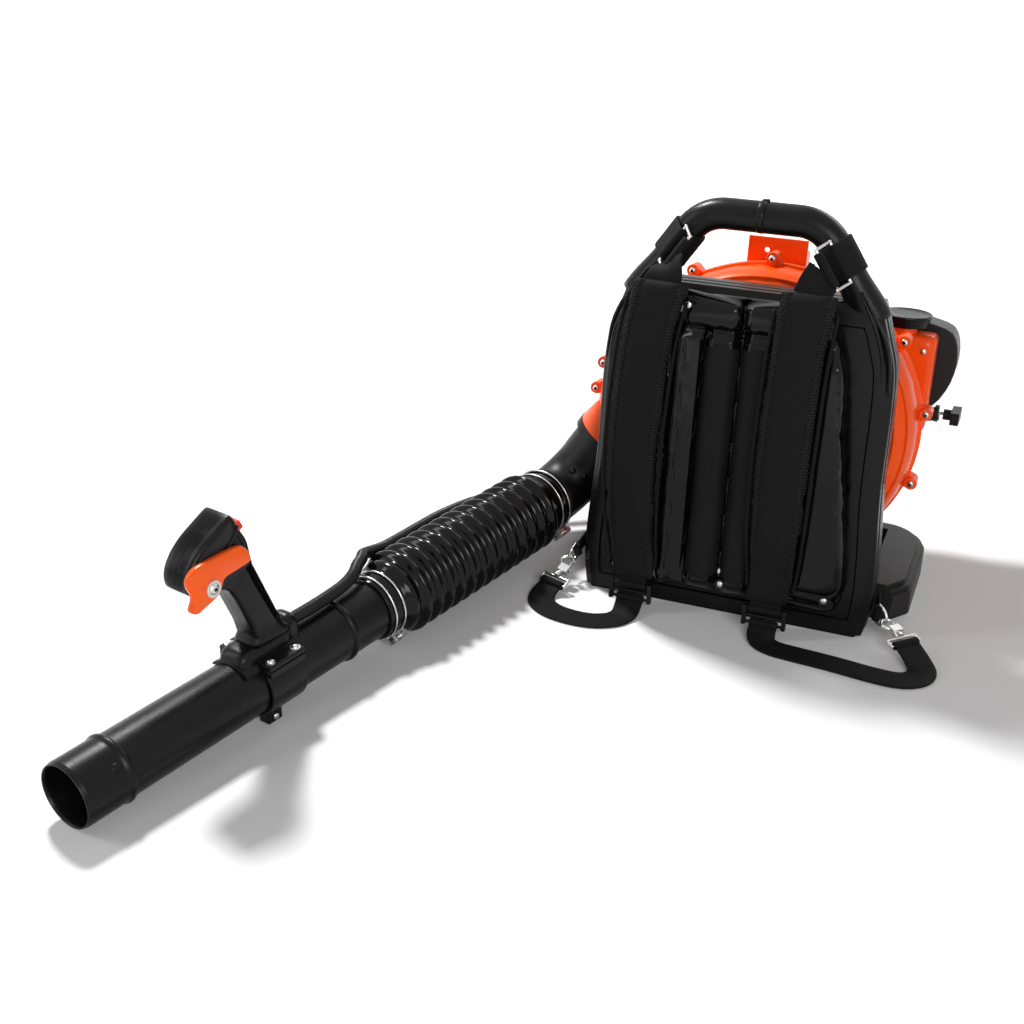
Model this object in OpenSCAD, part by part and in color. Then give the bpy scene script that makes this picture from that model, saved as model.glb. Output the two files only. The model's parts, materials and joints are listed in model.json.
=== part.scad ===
// Backpack leaf blower: carrying frame, fan housing, two-stroke engine and swivelling blow tube.
// Millimetres, +Z up, origin at the centre of the base's underside. The wearer's right is -X.

/* [Stance] */
// Backward lean of the carrying frame, degrees
lean = 5; // [3:0.5:6]
// Distance from the origin forward to the frame's front foot
front_reach = 130; // [124:1:136]

/* [Frame] */
// Height of the carrying frame, along its lean
frame_h = 500; // [490:2:520]
// Half width of the frame near the ground
foot_half = 180; // [174:1:186]
// Half width of the frame at the waist
waist_half = 172; // [168:1:178]
// Half width where the handle legs leave the frame
neck_half = 146; // [142:1:150]
// Depth of the moulded frame, front to back
frame_depth = 58; // [52:1:60]
// Thickness of the frame's front wall
frame_wall = 20; // [14:1:26]
// Diameter of the carrying handle
handle_d = 36; // [32:1:38]
// Half length of the straight part of the handle
handle_half = 42; // [36:1:48]

/* [Base] */
// Half width of the base shelf
base_half = 218; // [205:1:228]
// Depth of the base shelf behind the frame's foot
base_depth = 246; // [236:1:256]
// Height of the base shelf
base_h = 46; // [44:1:47]
// Height of the well floor that the engine stands on
well_z = 12; // [10:1:15]

/* [Pad and straps] */
// Thickness of the back pad at its panels
pad_t = 30; // [26:1:34]
// Width of a shoulder pad
strap_w = 72; // [66:1:76]
// Thickness of a shoulder pad
strap_t = 13; // [10:1:15]
// Width of the harness webbing
web_w = 42; // [38:1:46]
// Thickness of the harness webbing
web_t = 3; // [2:0.5:3.5]
// Wire diameter of the harness rings
ring_wire = 4; // [3:0.5:4.5]

/* [Fan housing] */
// Gap between the frame and the fan housing
housing_gap = 25; // [22:1:28]
// Depth of the fan housing, front to back
housing_depth = 110; // [104:1:114]
// Sideways place of the fan axis
fan_x = 12; // [6:1:16]
// Height of the fan axis up the frame
fan_z = 205; // [203:1:210]
// Radius of the scroll at its tongue
scroll_r = 152; // [148:1:154]
// Growth of the scroll's radius over a full turn
scroll_grow = 78; // [72:1:80]
// Wall of the scroll
scroll_wall = 4; // [3:0.5:5]
// Radius of the air inlet
inlet_r = 74; // [66:1:80]
// Radius of the fan wheel
wheel_r = 134; // [124:1:136]
// Number of fan blades
blades = 16; // [10:1:20]
// Number of fastening lugs round the scroll
lugs = 10; // [6:1:10]

/* [Engine] */
// Depth of the crankcase
crankcase_depth = 59; // [56:1:60]
// Radius of the crankshaft
shaft_r = 8; // [7:0.5:9]
// Diameter of the cooling fins
fin_d = 80; // [72:1:82]
// Number of cooling fins
fins = 9; // [6:1:11]
// Diameter of the recoil starter housing
starter_d = 114; // [108:1:116]
// Radius on which the starter rope winds
pulley_r = 34; // [30:1:36]
// Diameter of the fuel cap
cap_d = 64; // [56:1:68]

/* [Tube] */
// Dip of the outlet below the horizontal, degrees
outlet_dip = 57; // [56:0.5:58]
// Outer radius of the elbow
elbow_r = 39.5; // [38.5:0.5:40.5]
// Bend radius of the elbow's centre line
elbow_bend = 67; // [64:1:70]
// Straight neck of the elbow at the outlet
elbow_neck = 45; // [43:1:48]
// Sideways splay of the blow tube, degrees
tube_splay = 15; // [14.4:0.2:15.6]
// Fall of the blow tube towards its mouth, degrees
tube_fall = 1.85; // [1.65:0.1:1.95]
// Outer radius of the blow pipe
pipe_r = 35; // [33.5:0.5:35.5]
// Wall of the pipe, the elbow and the bellows
pipe_wall = 3; // [2:0.5:3.5]
// Distance from the elbow to the mouth of the pipe
tube_len = 776; // [762:2:790]
// Outer radius of the bellows' ribs
rib_r = 52; // [50:0.5:52.5]
// Radius of the grooves between the ribs
groove_r = 43; // [41.5:0.5:44]
// Number of ribs on the bellows
ribs = 13; // [11:1:15]
// Length of the ribbed stretch
ribbed_len = 271; // [263:2:275]
// Running clearance between pieces that move or slide together
clearance = 0.3; // [0.3:0.05:0.45]

/* [Handle] */
// Distance of the control handle from the mouth
handle_from_mouth = 253; // [245:1:262]
// Half thickness of the pistol grip
grip_half = 17; // [15:0.5:18]
// Half thickness of the handle's head
head_half = 19; // [18.5:0.5:21]
// Thickness of the throttle lever
lever_t = 7; // [6:0.5:8]
// Radius of the throttle lever's pivot screw
pivot_r = 4.5; // [4:0.25:5]
// Travel of the stop button
button_travel = 3; // [2:0.5:3.5]

/* [Hidden] */
$fn = 48;

orange = [1, 0.27, 0.08];
black = [0.1, 0.1, 0.1];
soft_black = [0.06, 0.06, 0.065];
dark_grey = [0.23, 0.23, 0.24];
steel = [0.75, 0.75, 0.77];

// ---------- helpers ----------
function unit(v) = v / norm(v);
function arc(centre, r, from, to, n) =
    [for (i = [0:n]) let (a = from + (to - from) * i / n) centre + r * [cos(a), sin(a)]];
function mirrored(points) = [for (i = [len(points) - 1:-1:0]) [-points[i][0], points[i][1]]];
function curve(p, n) = [
    for (i = [0:len(p) - 2], k = [0:n - 1])
        let (t = k / n, a = p[max(i - 1, 0)], b = p[i], c = p[i + 1], d = p[min(i + 2, len(p) - 1)])
            0.5 * (2 * b + (c - a) * t + (2 * a - 5 * b + 4 * c - d) * t * t + (3 * b - a - 3 * c + d) * t * t * t),
    p[len(p) - 1]
];
function tangent(p, i) = unit(p[min(i + 1, len(p) - 1)] - p[max(i - 1, 0)]);
function smooth_step(a, b, v) = let (t = min(max((v - a) / (b - a), 0), 1)) t * t * (3 - 2 * t);

// Leaning frame: x to the right, y backwards from the frame's front face, z up the frame
module leaning() translate([0, -front_reach, 0]) rotate([-lean, 0, 0]) children();
// A flat outline drawn in x and z, given depth from y = from to y = to
module deep(from, to) translate([0, to, 0]) rotate([90, 0, 0]) linear_extrude(to - from) children();
module rod_back(x, z, from, to, r) translate([x, from, z]) rotate([-90, 0, 0]) cylinder(h = to - from, r = r);

// A closed skin over rings that have the same number of points
module skin(rings) {
    m = len(rings[0]);
    last = len(rings) - 1;
    polyhedron(
        points = [for (ring = rings) each ring],
        faces = concat(
            [[for (j = [0:m - 1]) j]],
            [for (i = [0:last - 1], j = [0:m - 1]) let (a = i * m + j, b = i * m + (j + 1) % m) [a, a + m, b + m]],
            [for (i = [0:last - 1], j = [0:m - 1]) let (a = i * m + j, b = i * m + (j + 1) % m) [a, b + m, b]],
            [[for (j = [m - 1:-1:0]) last * m + j]]
        )
    );
}
// A cord along a route
module cord_tube(route, r, sides) skin([
    for (i = [0:len(route) - 1])
        let (t = tangent(route, i), s = unit(cross(t, abs(t[2]) < 0.9 ? [0, 0, 1] : [0, 1, 0])), u = cross(t, s))
            [for (j = [0:sides - 1]) route[i] + r * (cos(360 * j / sides) * s + sin(360 * j / sides) * u)]
]);
// A flat band with eased edges along a route, with its width along side, or level if side is empty.
// Side and width may change along the route.
module band(route, side, width, thick) skin([
    for (i = [0:len(route) - 1])
        let (t = tangent(route, i), a = len(side) == 0 ? [-t[1], t[0], 0] : is_list(side[0]) ? side[i] : side,
            n = unit(cross(t, a)), s = cross(n, t), w = (is_list(width) ? width[i] : width) / 2, h = thick / 2,
            c = min(thick * 0.35, 4))
            [for (q = [[w, h - c], [w - c, h], [c - w, h], [-w, h - c], [-w, c - h], [c - w, -h], [w - c, -h], [w, c - h]])
                route[i] + q[0] * s + q[1] * n]
]);
// A twisted strip through rows of centre and side direction
function flap_edge(rows, i, w) = rows[i][0] + w * rows[i][1];
function flap_face(rows, i, w) =
    unit(cross(flap_edge(rows, min(i + 1, len(rows) - 1), w) - flap_edge(rows, max(i - 1, 0), w), rows[i][1]));
module flap(rows, width, thick) skin([
    for (i = [0:len(rows) - 1])
        [for (q = [[1, 1], [-1, 1], [-1, -1], [1, -1]])
            flap_edge(rows, i, q[0] * width / 2) + q[1] * thick / 2 * flap_face(rows, i, q[0] * width / 2)]
]);
// Sets children at a point with their z along a direction and their x as near a hint as it goes
module place(at, along, hint) {
    z = unit(along);
    y = unit(cross(z, hint));
    x = cross(y, z);
    multmatrix([[x[0], y[0], z[0], at[0]], [x[1], y[1], z[1], at[1]], [x[2], y[2], z[2], at[2]], [0, 0, 0, 1]]) children();
}
module rod(from, to, r) place(from, to - from, [0.3, 0.2, 0.9]) cylinder(h = norm(to - from), r = r, $fn = 24);

// ---------- frame ----------
shoulder_z = frame_h - 176;
neck_z = frame_h - 102;
bar_z = frame_h - handle_d / 2 - 3;
handle_y = handle_d / 2 + 4;
handle_bend = 50;
leg_dip = 56;
leg_len = 84;
leg_top = [handle_half + handle_bend * sin(leg_dip), bar_z - handle_bend + handle_bend * cos(leg_dip)];
side_knots = [
    [foot_half - 7, -10], [foot_half, 40], [foot_half - 1, 95], [waist_half + 1, 180],
    [waist_half, shoulder_z - 50], [waist_half - 3, shoulder_z], [neck_half + 14, shoulder_z + 32], [neck_half, neck_z]
];
// Layers of the frame's side: from, to and inset, which leave the long grooves round its edge
side_layers = [
    [0, 7, 7], [7, 19, 1], [19, 23, 6], [23, 35, 0], [35, 39, 6], [39, frame_depth, 1]
];

module frame_plan(inset) {
    side = curve(side_knots, 3);
    edge = [for (i = [0:len(side) - 1]) let (t = tangent(side, i)) side[i] - inset * [t[1], -t[0]]];
    polygon(concat(edge, mirrored(edge)));
}
bar_half = concat(
    [leg_top + leg_len * [sin(90 - leg_dip), -cos(90 - leg_dip)], leg_top],
    arc([handle_half, bar_z - handle_bend], handle_bend, 90 - leg_dip + 8, 90, 6)
);
module carry_handle() cord_tube([for (p = concat(bar_half, mirrored(bar_half))) [p[0], handle_y, p[1]]], handle_d / 2, 20);
module frame_upright() color(black) difference() {
    leaning() difference() {
        union() {
            for (layer = side_layers) deep(layer[0], layer[1]) frame_plan(layer[2]);
            carry_handle();
        }
        difference() {
            deep(frame_wall, frame_depth + 1) frame_plan(30);
            for (x = [-84, 0, 84]) translate([x - 5, 0, 0]) cube([10, frame_depth - 8, neck_z]);
            translate([-foot_half, 0, -20]) cube([2 * foot_half, frame_depth + 2, base_h + 34]);
            translate([-foot_half, 0, neck_z - 24]) cube([2 * foot_half, frame_depth + 2, 30]);
        }
    }
    translate([-300, -300, -60]) cube([600, 600, 60]);
}

// ---------- base ----------
base_back = base_depth - front_reach;
base_corner = 46;
rim_inset = 9;
rim_h = 13;
// The left side is narrower, to clear the elbow
base_left = base_half - 16;
well_half = base_half - 50;

function base_side(half, inset) = let (x = half - inset) concat(
        [[foot_half - 8 - inset, -front_reach + 20], [x - 14, -front_reach + frame_depth + 10]],
        arc([x - 16, -front_reach + frame_depth + 34], 16, -30, 0, 3),
        arc([x - base_corner, base_back - inset - base_corner], base_corner, 0, 90, 10)
);
module base_plan(inset) polygon(concat(base_side(base_half, inset), mirrored(base_side(base_left, inset))));
module frame_base() color(dark_grey) difference() {
    union() {
        linear_extrude(base_h - rim_h) base_plan(0);
        linear_extrude(base_h - rim_h / 2) base_plan(rim_inset / 3);
        linear_extrude(base_h) base_plan(rim_inset);
    }
    leaning() translate([-300, -200, -100]) cube([600, 200 + frame_depth, 300]);
    translate([-well_half, -front_reach + frame_depth - 20, well_z])
        cube([2 * well_half, base_back + front_reach - frame_depth + 20 - 26, base_h]);
    for (x = [-1, 1]) translate([x * (well_half + 40) / 2 - (well_half - 40) / 2, -40, -1])
        cube([well_half - 40, base_back + 40 - 30, well_z / 2]);
}

// ---------- back pad ----------
pad_foot = 20;
pad_top = neck_z + 2;
pad_knots = [
    [132, pad_foot], [148, pad_foot + 14], [155, pad_foot + 40], [152, 120], [144, 210],
    [128, shoulder_z + 6], [112, shoulder_z + 50], [104, pad_top - 8], [102, pad_top]
];
panel_top = shoulder_z + 8;
roll_groove = pad_top - 46;
function groove(v, at, half) = 1 - smooth_step(0, half, abs(v - at)) ;
function pad_relief(x, z) = let (
        low = smooth_step(roll_groove - 4, roll_groove + 6, z),
        ribs = 0.55
            + 0.45 * (smooth_step(3, 9, x) - smooth_step(33, 43, x)) * smooth_step(30, 48, z)
            + 0.28 * (smooth_step(60, 67, x) - smooth_step(75, 82, x))
            + 0.40 * smooth_step(80, 90, x) * smooth_step(46, 62, z) * (1 - smooth_step(panel_top, panel_top + 14, z)),
        roll = 0.95 - 0.3 * groove(x, 0, 9))
    ((1 - low) * ribs + low * roll) * (1 - 0.45 * groove(z, roll_groove, 9));
function pad_depth(x, w, z, rise) =
    pad_t * max(pad_relief(x, z) * rise * smooth_step(-5, 14, w - x), 0.1) + 1.5 * cos(90 * x / w);
function pad_row(p) = let (
        w = p[0],
        z = p[1],
        rise = min(smooth_step(-8, 16, z - pad_foot), smooth_step(-6, 14, pad_top - z)),
        xs = [0, 3, 9, 33, 43, 60, 67, 75, 82, 89, w - 11, w - 4, w])
    [for (i = [len(xs) - 1:-1:1]) [-xs[i], -pad_depth(xs[i], w, z, rise), z],
     for (x = xs) [x, -pad_depth(x, w, z, rise), z],
     [w, 0, z], [-w, 0, z]];
module back_pad() color(soft_black) leaning() skin([for (p = curve(pad_knots, 4)) pad_row(p)]);

rivet_r = 4;
rivets = [[-71, pad_top - 24, 0.85], [71, pad_top - 24, 0.85], [0, 60, 0.5], [148, 38, 0.28], [-148, 38, 0.28]];
module pad_rivets() color(steel) leaning() for (p = rivets) translate([p[0], 0, p[1]]) {
    rod_back(0, 0, -pad_t * p[2] - 3, -pad_t * p[2], rivet_r + 1);
}

// ---------- harness ----------
strap_lift = pad_t + strap_t / 2 + 6;
// Middle of each shoulder pad from top to bottom, with its width as the fourth value
strap_routes = [
    [[-94, -strap_lift + 5, pad_top + 10, strap_w], [-99, -strap_lift, pad_top - 20, strap_w],
     [-107, -strap_lift - 2, 320, strap_w],
     [-112, -strap_lift - 3, 215, strap_w], [-109, -strap_lift - 2, 125, strap_w - 4],
     [-103, -strap_lift + 2, 70, strap_w - 11], [-102, -strap_lift + 3, 40, strap_w - 15]],
    [[74, -strap_lift + 5, pad_top + 16, strap_w], [71, -strap_lift, pad_top - 16, strap_w],
     [67, -strap_lift - 2, 320, strap_w],
     [65, -strap_lift - 3, 215, strap_w], [66, -strap_lift - 2, 125, strap_w - 4],
     [67, -strap_lift + 2, 70, strap_w - 13], [64, -strap_lift + 3, 40, strap_w - 19]]
];
function flat(route) = [for (p = route) [p[0], p[1], p[2]]];
low_web = web_w * 0.8;
buckle_bar = 1.8;
bar_out = 9;
loop_in = buckle_bar + 0.4;
loop_out = loop_in + web_t;
buckle_at = [for (r = strap_routes) let (p = r[len(r) - 1]) [p[0], p[1], p[2] - 18]];
// Webbing wrapped round a bar that lies along x
module bar_loop(width) rotate([0, 90, 0]) linear_extrude(width, center = true) difference() {
    circle(r = loop_out, $fn = 20);
    circle(r = loop_in, $fn = 20);
}
module strap_pad(i) color(black) leaning() {
    route = curve(strap_routes[i], 3);
    band(flat(route), [1, 0, 0], [for (p = route) p[3]], strap_t);
    translate(buckle_at[i] + [0, 0, bar_out]) {
        bar_loop(web_w * 0.9);
        translate([-web_w * 0.45, -web_t / 2, loop_in + 0.4]) cube([web_w * 0.9, web_t, 18 - bar_out - loop_in]);
    }
}
module strap_pad_left() strap_pad(0);
module strap_pad_right() strap_pad(1);

loop_along = 18;
loop_at = leg_top + loop_along * [cos(leg_dip), -sin(leg_dip)];
loop_tip = [-2, -25];
ring_tip = [11, -45];
// Local axes on a handle leg: z along the leg, -x outwards, y backwards
module on_leg(side) leaning() mirror([side < 0 ? 1 : 0, 0, 0])
    translate([loop_at[0], handle_y, loop_at[1]]) rotate([0, 90 + leg_dip, 0]) children();
module upper_loop(side) {
    color(black) on_leg(side) linear_extrude(web_w, center = true) {
        difference() {
            hull() {
                circle(d = handle_d + 2 * web_t + 0.6, $fn = 32);
                translate(loop_tip) circle(r = ring_wire / 2 + web_t + 0.4, $fn = 16);
            }
            hull() {
                circle(d = handle_d + 0.6, $fn = 32);
                translate(loop_tip) circle(r = ring_wire / 2 + 0.4, $fn = 16);
            }
        }
        translate(ring_tip) difference() {
            circle(r = ring_wire / 2 + web_t + 0.4, $fn = 16);
            circle(r = ring_wire / 2 + 0.4, $fn = 16);
        }
    }
    pad = flat(strap_routes[side < 0 ? 0 : 1]);
    bar_x = loop_at[0] - ring_tip[0] * sin(leg_dip);
    bar = [side * bar_x, handle_y + ring_tip[1], loop_at[1] - ring_tip[0] * cos(leg_dip)];
    along = [side * cos(leg_dip), 0, -sin(leg_dip)];
    pad_down = unit(pad[1] - pad[0]);
    pad_side = unit([side, 0, 0] - side * pad_down[0] * pad_down);
    away = pad[0] - bar;
    color(black) leaning() flap([
        [bar + (ring_wire / 2 + 1.9) * unit(away - (side < 0 ? away * along : 0) * along), along],
        [(bar + pad[0]) / 2, unit(along + pad_side)],
        [pad[0] - (web_t / 2 + 0.6) * pad_down, pad_side]
    ], web_w - 4, web_t);
}
module upper_loop_left() upper_loop(-1);
module upper_loop_right() upper_loop(1);

// Lower anchors, in world axes: z away from the frame along the snap hook
anchor_at = [[-foot_half - 13, -front_reach + 8, 36], [foot_half + 14, -front_reach + 12, 28]];
anchor_dir = [unit([-14, -40, -25]), unit([35, -34, -10])];
anchor_hint = [[1, 0, 0], [1, 1, 0]];
tab_turn = [0, 37];
tab_w = 20;
tab_len = 28;
d_half = 12;
d_wire = 1.6;
d_bar = -9;
module on_anchor(i) place(anchor_at[i], anchor_dir[i], anchor_hint[i]) children();
module on_eye(i) place(anchor_at[i], anchor_dir[i], [0, 0, 1]) children();
module bar_y(half, z, r) translate([0, -half, z]) rotate([-90, 0, 0]) cylinder(h = 2 * half, r = r, $fn = 24);
module d_ring() {
    bar_y(d_half, d_bar, d_wire);
    for (y = [-d_half, d_half]) translate([0, y, d_bar]) {
        cylinder(h = d_half + d_bar + 3, r = d_wire, $fn = 24);
        sphere(r = d_wire, $fn = 24);
    }
    translate([0, 0, -3]) rotate([0, 90, 0]) rotate([0, 0, 90]) rotate_extrude(angle = 180)
        translate([d_half, 0]) circle(r = d_wire, $fn = 24);
}
module wire_frame(half, from, to) {
    for (z = [-half, half]) rod([from[0], from[1], z], [to[0], to[1], z], ring_wire / 2);
    for (p = [from, to]) {
        translate([p[0], p[1], -half]) cylinder(h = 2 * half, d = ring_wire, $fn = 24);
        for (z = [-half, half]) translate([p[0], p[1], z]) sphere(d = ring_wire + 0.4, $fn = 24);
    }
}
module strap_rings() color(steel) {
    for (side = [-1, 1]) on_leg(side) wire_frame(web_w / 2 + ring_wire, loop_tip, ring_tip);
    for (i = [0, 1]) on_anchor(i) d_ring();
}
module anchor_tabs() color(black) for (i = [0, 1]) on_anchor(i) {
    translate([0, 0, d_bar]) rotate([90, 0, 0]) linear_extrude(tab_w, center = true) difference() {
        union() {
            circle(r = d_wire + 0.6 + web_t, $fn = 20);
            rotate(tab_turn[i]) translate([-web_t / 2, -tab_len]) square([web_t, tab_len]);
        }
        circle(r = d_wire + 0.6, $fn = 20);
    }
    translate([0, 0, d_bar]) rotate([0, -tab_turn[i], 0]) translate([-web_t / 2 - 1, 0, 7 - tab_len]) rotate([0, 90, 0])
        cylinder(h = web_t + 1.5, r = 5, $fn = 20);
}
hook_arc = 8;
hook_wire = 2;
hook_z = 13;
gate_at = [6.5, 20.5];
gate_bore = 1.3;
swivel_z = 29;
eye_z = swivel_z + 9;
eye_len = 10;
eye_half = low_web / 2 + 2.4;
module snap_hooks() color(steel) for (i = [0, 1]) {
    on_anchor(i) {
        translate([0, 0, hook_z]) rotate([90, 0, 0]) rotate([0, 0, 90]) rotate_extrude(angle = 240)
            translate([hook_arc, 0]) circle(r = hook_wire, $fn = 24);
        difference() {
            translate([-4, -4.5, hook_z + 6]) cube([13, 9, swivel_z - hook_z - 6]);
            translate([3.4, -2.8, hook_z + 5]) cube([6.6, 5.6, 7]);
        }
        translate([gate_at[0], 0, 0]) bar_y(4.5, gate_at[1], gate_bore - clearance);
        translate([0, 0, swivel_z]) cylinder(h = 4, r = 3.5);
        translate([0, 0, swivel_z + 4]) cylinder(h = 4, r = 5.5);
    }
    on_eye(i) {
        for (z = [0, eye_len]) bar_y(eye_half, eye_z + z, buckle_bar);
        for (y = [-eye_half, eye_half]) translate([0, y, eye_z]) {
            cylinder(h = eye_len, r = buckle_bar, $fn = 24);
            for (z = [0, eye_len]) translate([0, 0, z]) sphere(r = buckle_bar, $fn = 24);
        }
    }
}
module hook_gate(i) color(steel) on_anchor(i) difference() {
    union() {
        translate([gate_at[0], 0, 0]) bar_y(2.5, gate_at[1], 2.4);
        translate([gate_at[0] + 0.4, 0, gate_at[1] - 9.9]) cylinder(h = 9, r = 1.3, $fn = 24);
    }
    translate([gate_at[0], 0, 0]) bar_y(3, gate_at[1], gate_bore);
}
module hook_gate_left() hook_gate(0);
module hook_gate_right() hook_gate(1);

module slide_buckles() color(black) leaning() for (p = buckle_at) translate(p) {
    for (x = [-1, 1]) translate([x * (web_w / 2 + 3) - 2.5, -3.5, -bar_out - 3.5]) cube([5, 7, 2 * bar_out + 7]);
    for (z = [-bar_out, 0, bar_out]) translate([-web_w / 2 - 2, 0, z]) rotate([0, 90, 0])
        cylinder(h = web_w + 4, r = buckle_bar, $fn = 24);
}
web_floor = web_t / 2 + 0.3;
web_start = loop_in + 1.5;
function eye_end(i) = anchor_at[i] + (eye_z + eye_len + web_start) * anchor_dir[i];
function bar_end(i) = lean_point(buckle_at[i] - [0, 0, bar_out]) + web_start * [0, -0.75, -0.66];
low_routes = [
    [eye_end(0), [-212, -179, 3.8], [-206, -198, web_floor], [-187, -212, web_floor], [-160, -218, web_floor],
     [-134, -216, web_floor], [-113, -205, web_floor], [-104, -191, web_floor + 0.6], [-102, -181, 6.5], bar_end(0)],
    [eye_end(1), [243, -166, 9.5], [252, -181, 3.4], [248, -197, web_floor], [230, -208, web_floor],
     [200, -208, web_floor], [155, -202, web_floor], [110, -198, web_floor], [84, -195, web_floor + 0.2],
     [69, -188, 3.4], [64.5, -179.5, 8], bar_end(1)]
];
module lower_webbing(i) color(black) {
    band(curve(low_routes[i], 3), [], low_web, web_t);
    on_eye(i) translate([0, 0, eye_z + eye_len]) rotate([0, 0, 90]) bar_loop(low_web);
    leaning() translate(buckle_at[i] - [0, 0, bar_out]) bar_loop(low_web);
}
module lower_webbing_left() lower_webbing(0);
module lower_webbing_right() lower_webbing(1);

// ---------- fan housing ----------
fan_front = frame_depth + housing_gap;
fan_back = fan_front + housing_depth;
fan_mid = fan_front + housing_depth / 2;
tongue = 225;
scroll_sweep = 360;
function scroll_at(t) = scroll_r + scroll_grow * (t > 315 ? 0.875 * (1 - smooth_step(315, 360, t)) : t / 360);
outlet_dir = [-cos(outlet_dip), 0, -sin(outlet_dip)];
outlet_across = 149.7;
outlet_along = 153;
outlet_side = [-sin(outlet_dip), 0, cos(outlet_dip)];
// The outlet's flange, from the fan axis: along the blow and across it
outlet_at = [fan_x, fan_mid, fan_z] + outlet_along * outlet_dir + outlet_across * outlet_side;
duct_r = elbow_r + clearance;
duct_right = 122;

// Half section of the scroll: distance in from the rim and depth from the housing's face
function scroll_section(wall) = [
    [70 - wall, wall], [34, wall], [19, 3 + wall], [8 + wall / 2, 12], [2 + wall, 24], [wall, 36]
];
scroll_core = 50;
scroll_step = 9;
function scroll_slice(wall, depth, t) = let (a = tongue + t, r = scroll_at(t), d = [cos(a), sin(a)], c = scroll_core - 8) concat(
    [[d[0] * c, wall, d[1] * c]],
    [for (p = scroll_section(wall)) [d[0] * (r - p[0]), p[1], d[1] * (r - p[0])]],
    [[d[0] * (r - wall), depth, d[1] * (r - wall)], [d[0] * c, depth, d[1] * c]]
);
// The scroll in two arms that share a step, round a flat core
module scroll_arm(wall, depth) {
    for (arm = [[0, 21], [20, 41]])
        skin([for (i = [arm[0]:arm[1]]) scroll_slice(wall, depth, scroll_step * i)]);
    rod_back(0, 0, wall, depth, scroll_core);
}
module outlet_loft(wall, from, to) intersection() {
    hull() {
        translate([1.5 - scroll_at(315) + wall, 16, 2]) cube([scroll_at(315) - duct_right - 2 * wall, housing_depth - 32, 4]);
        translate([15 - scroll_at(315) + wall, 2 + wall, 2])
            cube([scroll_at(315) - duct_right - 22 - 2 * wall, housing_depth - 4 - 2 * wall, 4]);
        translate(outlet_at - [fan_x, fan_front, fan_z]) rotate([0, -90 - outlet_dip, 0])
            translate([0, 0, wall > 0 ? 0 : -1]) cylinder(h = 1, r = duct_r + scroll_wall - wall, $fn = 40);
    }
    translate([-400, from, -400]) cube([800, to - from, 800]);
}
module scroll_half(wall) {
    over = wall > 0 ? 1 : 0;
    scroll_arm(wall, housing_depth / 2 + over);
    outlet_loft(wall, 0, housing_depth / 2 + over);
}
lug_r = 7;
lug_out = 9;
lug_angles = concat(
    [for (i = [0:lugs - 1]) tongue + (4.5 + 3 * i) * scroll_step], [for (i = [33.5, 34.5]) tongue + i * scroll_step]
);
function lug_at(a) = (scroll_at(a - tongue) + lug_out) * [cos(a), sin(a)];
module lug_pads(from, to) for (a = lug_angles) let (p = lug_at(a)) hull() {
    deep(from, to) translate(p) circle(r = lug_r, $fn = 16);
    deep(from, to) translate(p) rotate(a + 90) translate([-lug_r - 2, lug_out]) square([2 * lug_r + 4, 3]);
}
module on_fan() leaning() translate([fan_x, fan_front, fan_z]) children();

mount_h = 14;
mount_r = 14;
mount_span = 58;
mount_y = [-front_reach + fan_front + 22, -front_reach + fan_back - 12];
module housing_feet(y) for (x = [-1, 1])
    translate([fan_x + x * mount_span, y, well_z + mount_h]) cylinder(h = 30, r = mount_r + 1, $fn = 20);
module volute_front() color(orange) difference() {
    union() {
        on_fan() scroll_half(0);
        on_fan() lug_pads(housing_depth / 2 - 9, housing_depth / 2);
        housing_feet(mount_y[0]);
    }
    on_fan() scroll_half(scroll_wall);
    on_fan() rod_back(0, 0, -1, 12, inlet_r);
}
module volute_rear() color(orange) difference() {
    union() {
        on_fan() translate([0, housing_depth, 0]) mirror([0, 1, 0]) {
            scroll_half(0);
            lug_pads(housing_depth / 2 - 9, housing_depth / 2);
        }
        housing_feet(mount_y[1]);
    }
    on_fan() translate([0, housing_depth, 0]) mirror([0, 1, 0]) {
        scroll_half(scroll_wall);
        rod_back(0, 0, -1, 12, shaft_r + 6);
    }
}
module rubber_mounts() color(black) for (x = [-1, 1], y = mount_y)
    translate([fan_x + x * mount_span, y, well_z]) cylinder(h = mount_h, r = mount_r);

module housing_screws() color(steel) on_fan() for (a = lug_angles) let (p = lug_at(a)) {
    rod_back(p[0], p[1], housing_depth / 2 - 9 - 3, housing_depth / 2 - 9, 4.5);
}
module inlet_guard() color(black) on_fan() deep(-3, 0) {
    for (r = [19 : 14 : inlet_r - 6]) difference() {
        circle(r = r);
        circle(r = r - 3);
    }
    difference() {
        circle(r = inlet_r + 7);
        circle(r = inlet_r - 3);
    }
    for (a = [0:60:300]) rotate(a) translate([10, -2]) square([inlet_r - 9, 4]);
    circle(r = 12);
}
bracket_w = 74;
bracket_h = 35;
bracket_hole = 3.25;
bracket_x = -21;
bracket_y = housing_depth - 18;
bracket_foot = scroll_at(225) - 9;
hole_x = -13;
hole_z = 19.25;
module top_bracket() color(orange) on_fan() translate([bracket_x, 0, bracket_foot]) difference() {
    union() {
        translate([-bracket_w / 2, bracket_y, 0]) cube([bracket_w, 4, bracket_h]);
        for (x = [-bracket_w / 2, bracket_w / 2 - 4]) translate([x, bracket_y, 0]) cube([4, 22, 20]);
    }
    rod_back(hole_x, hole_z, bracket_y - 1, bracket_y + 5, bracket_hole);
}

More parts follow.
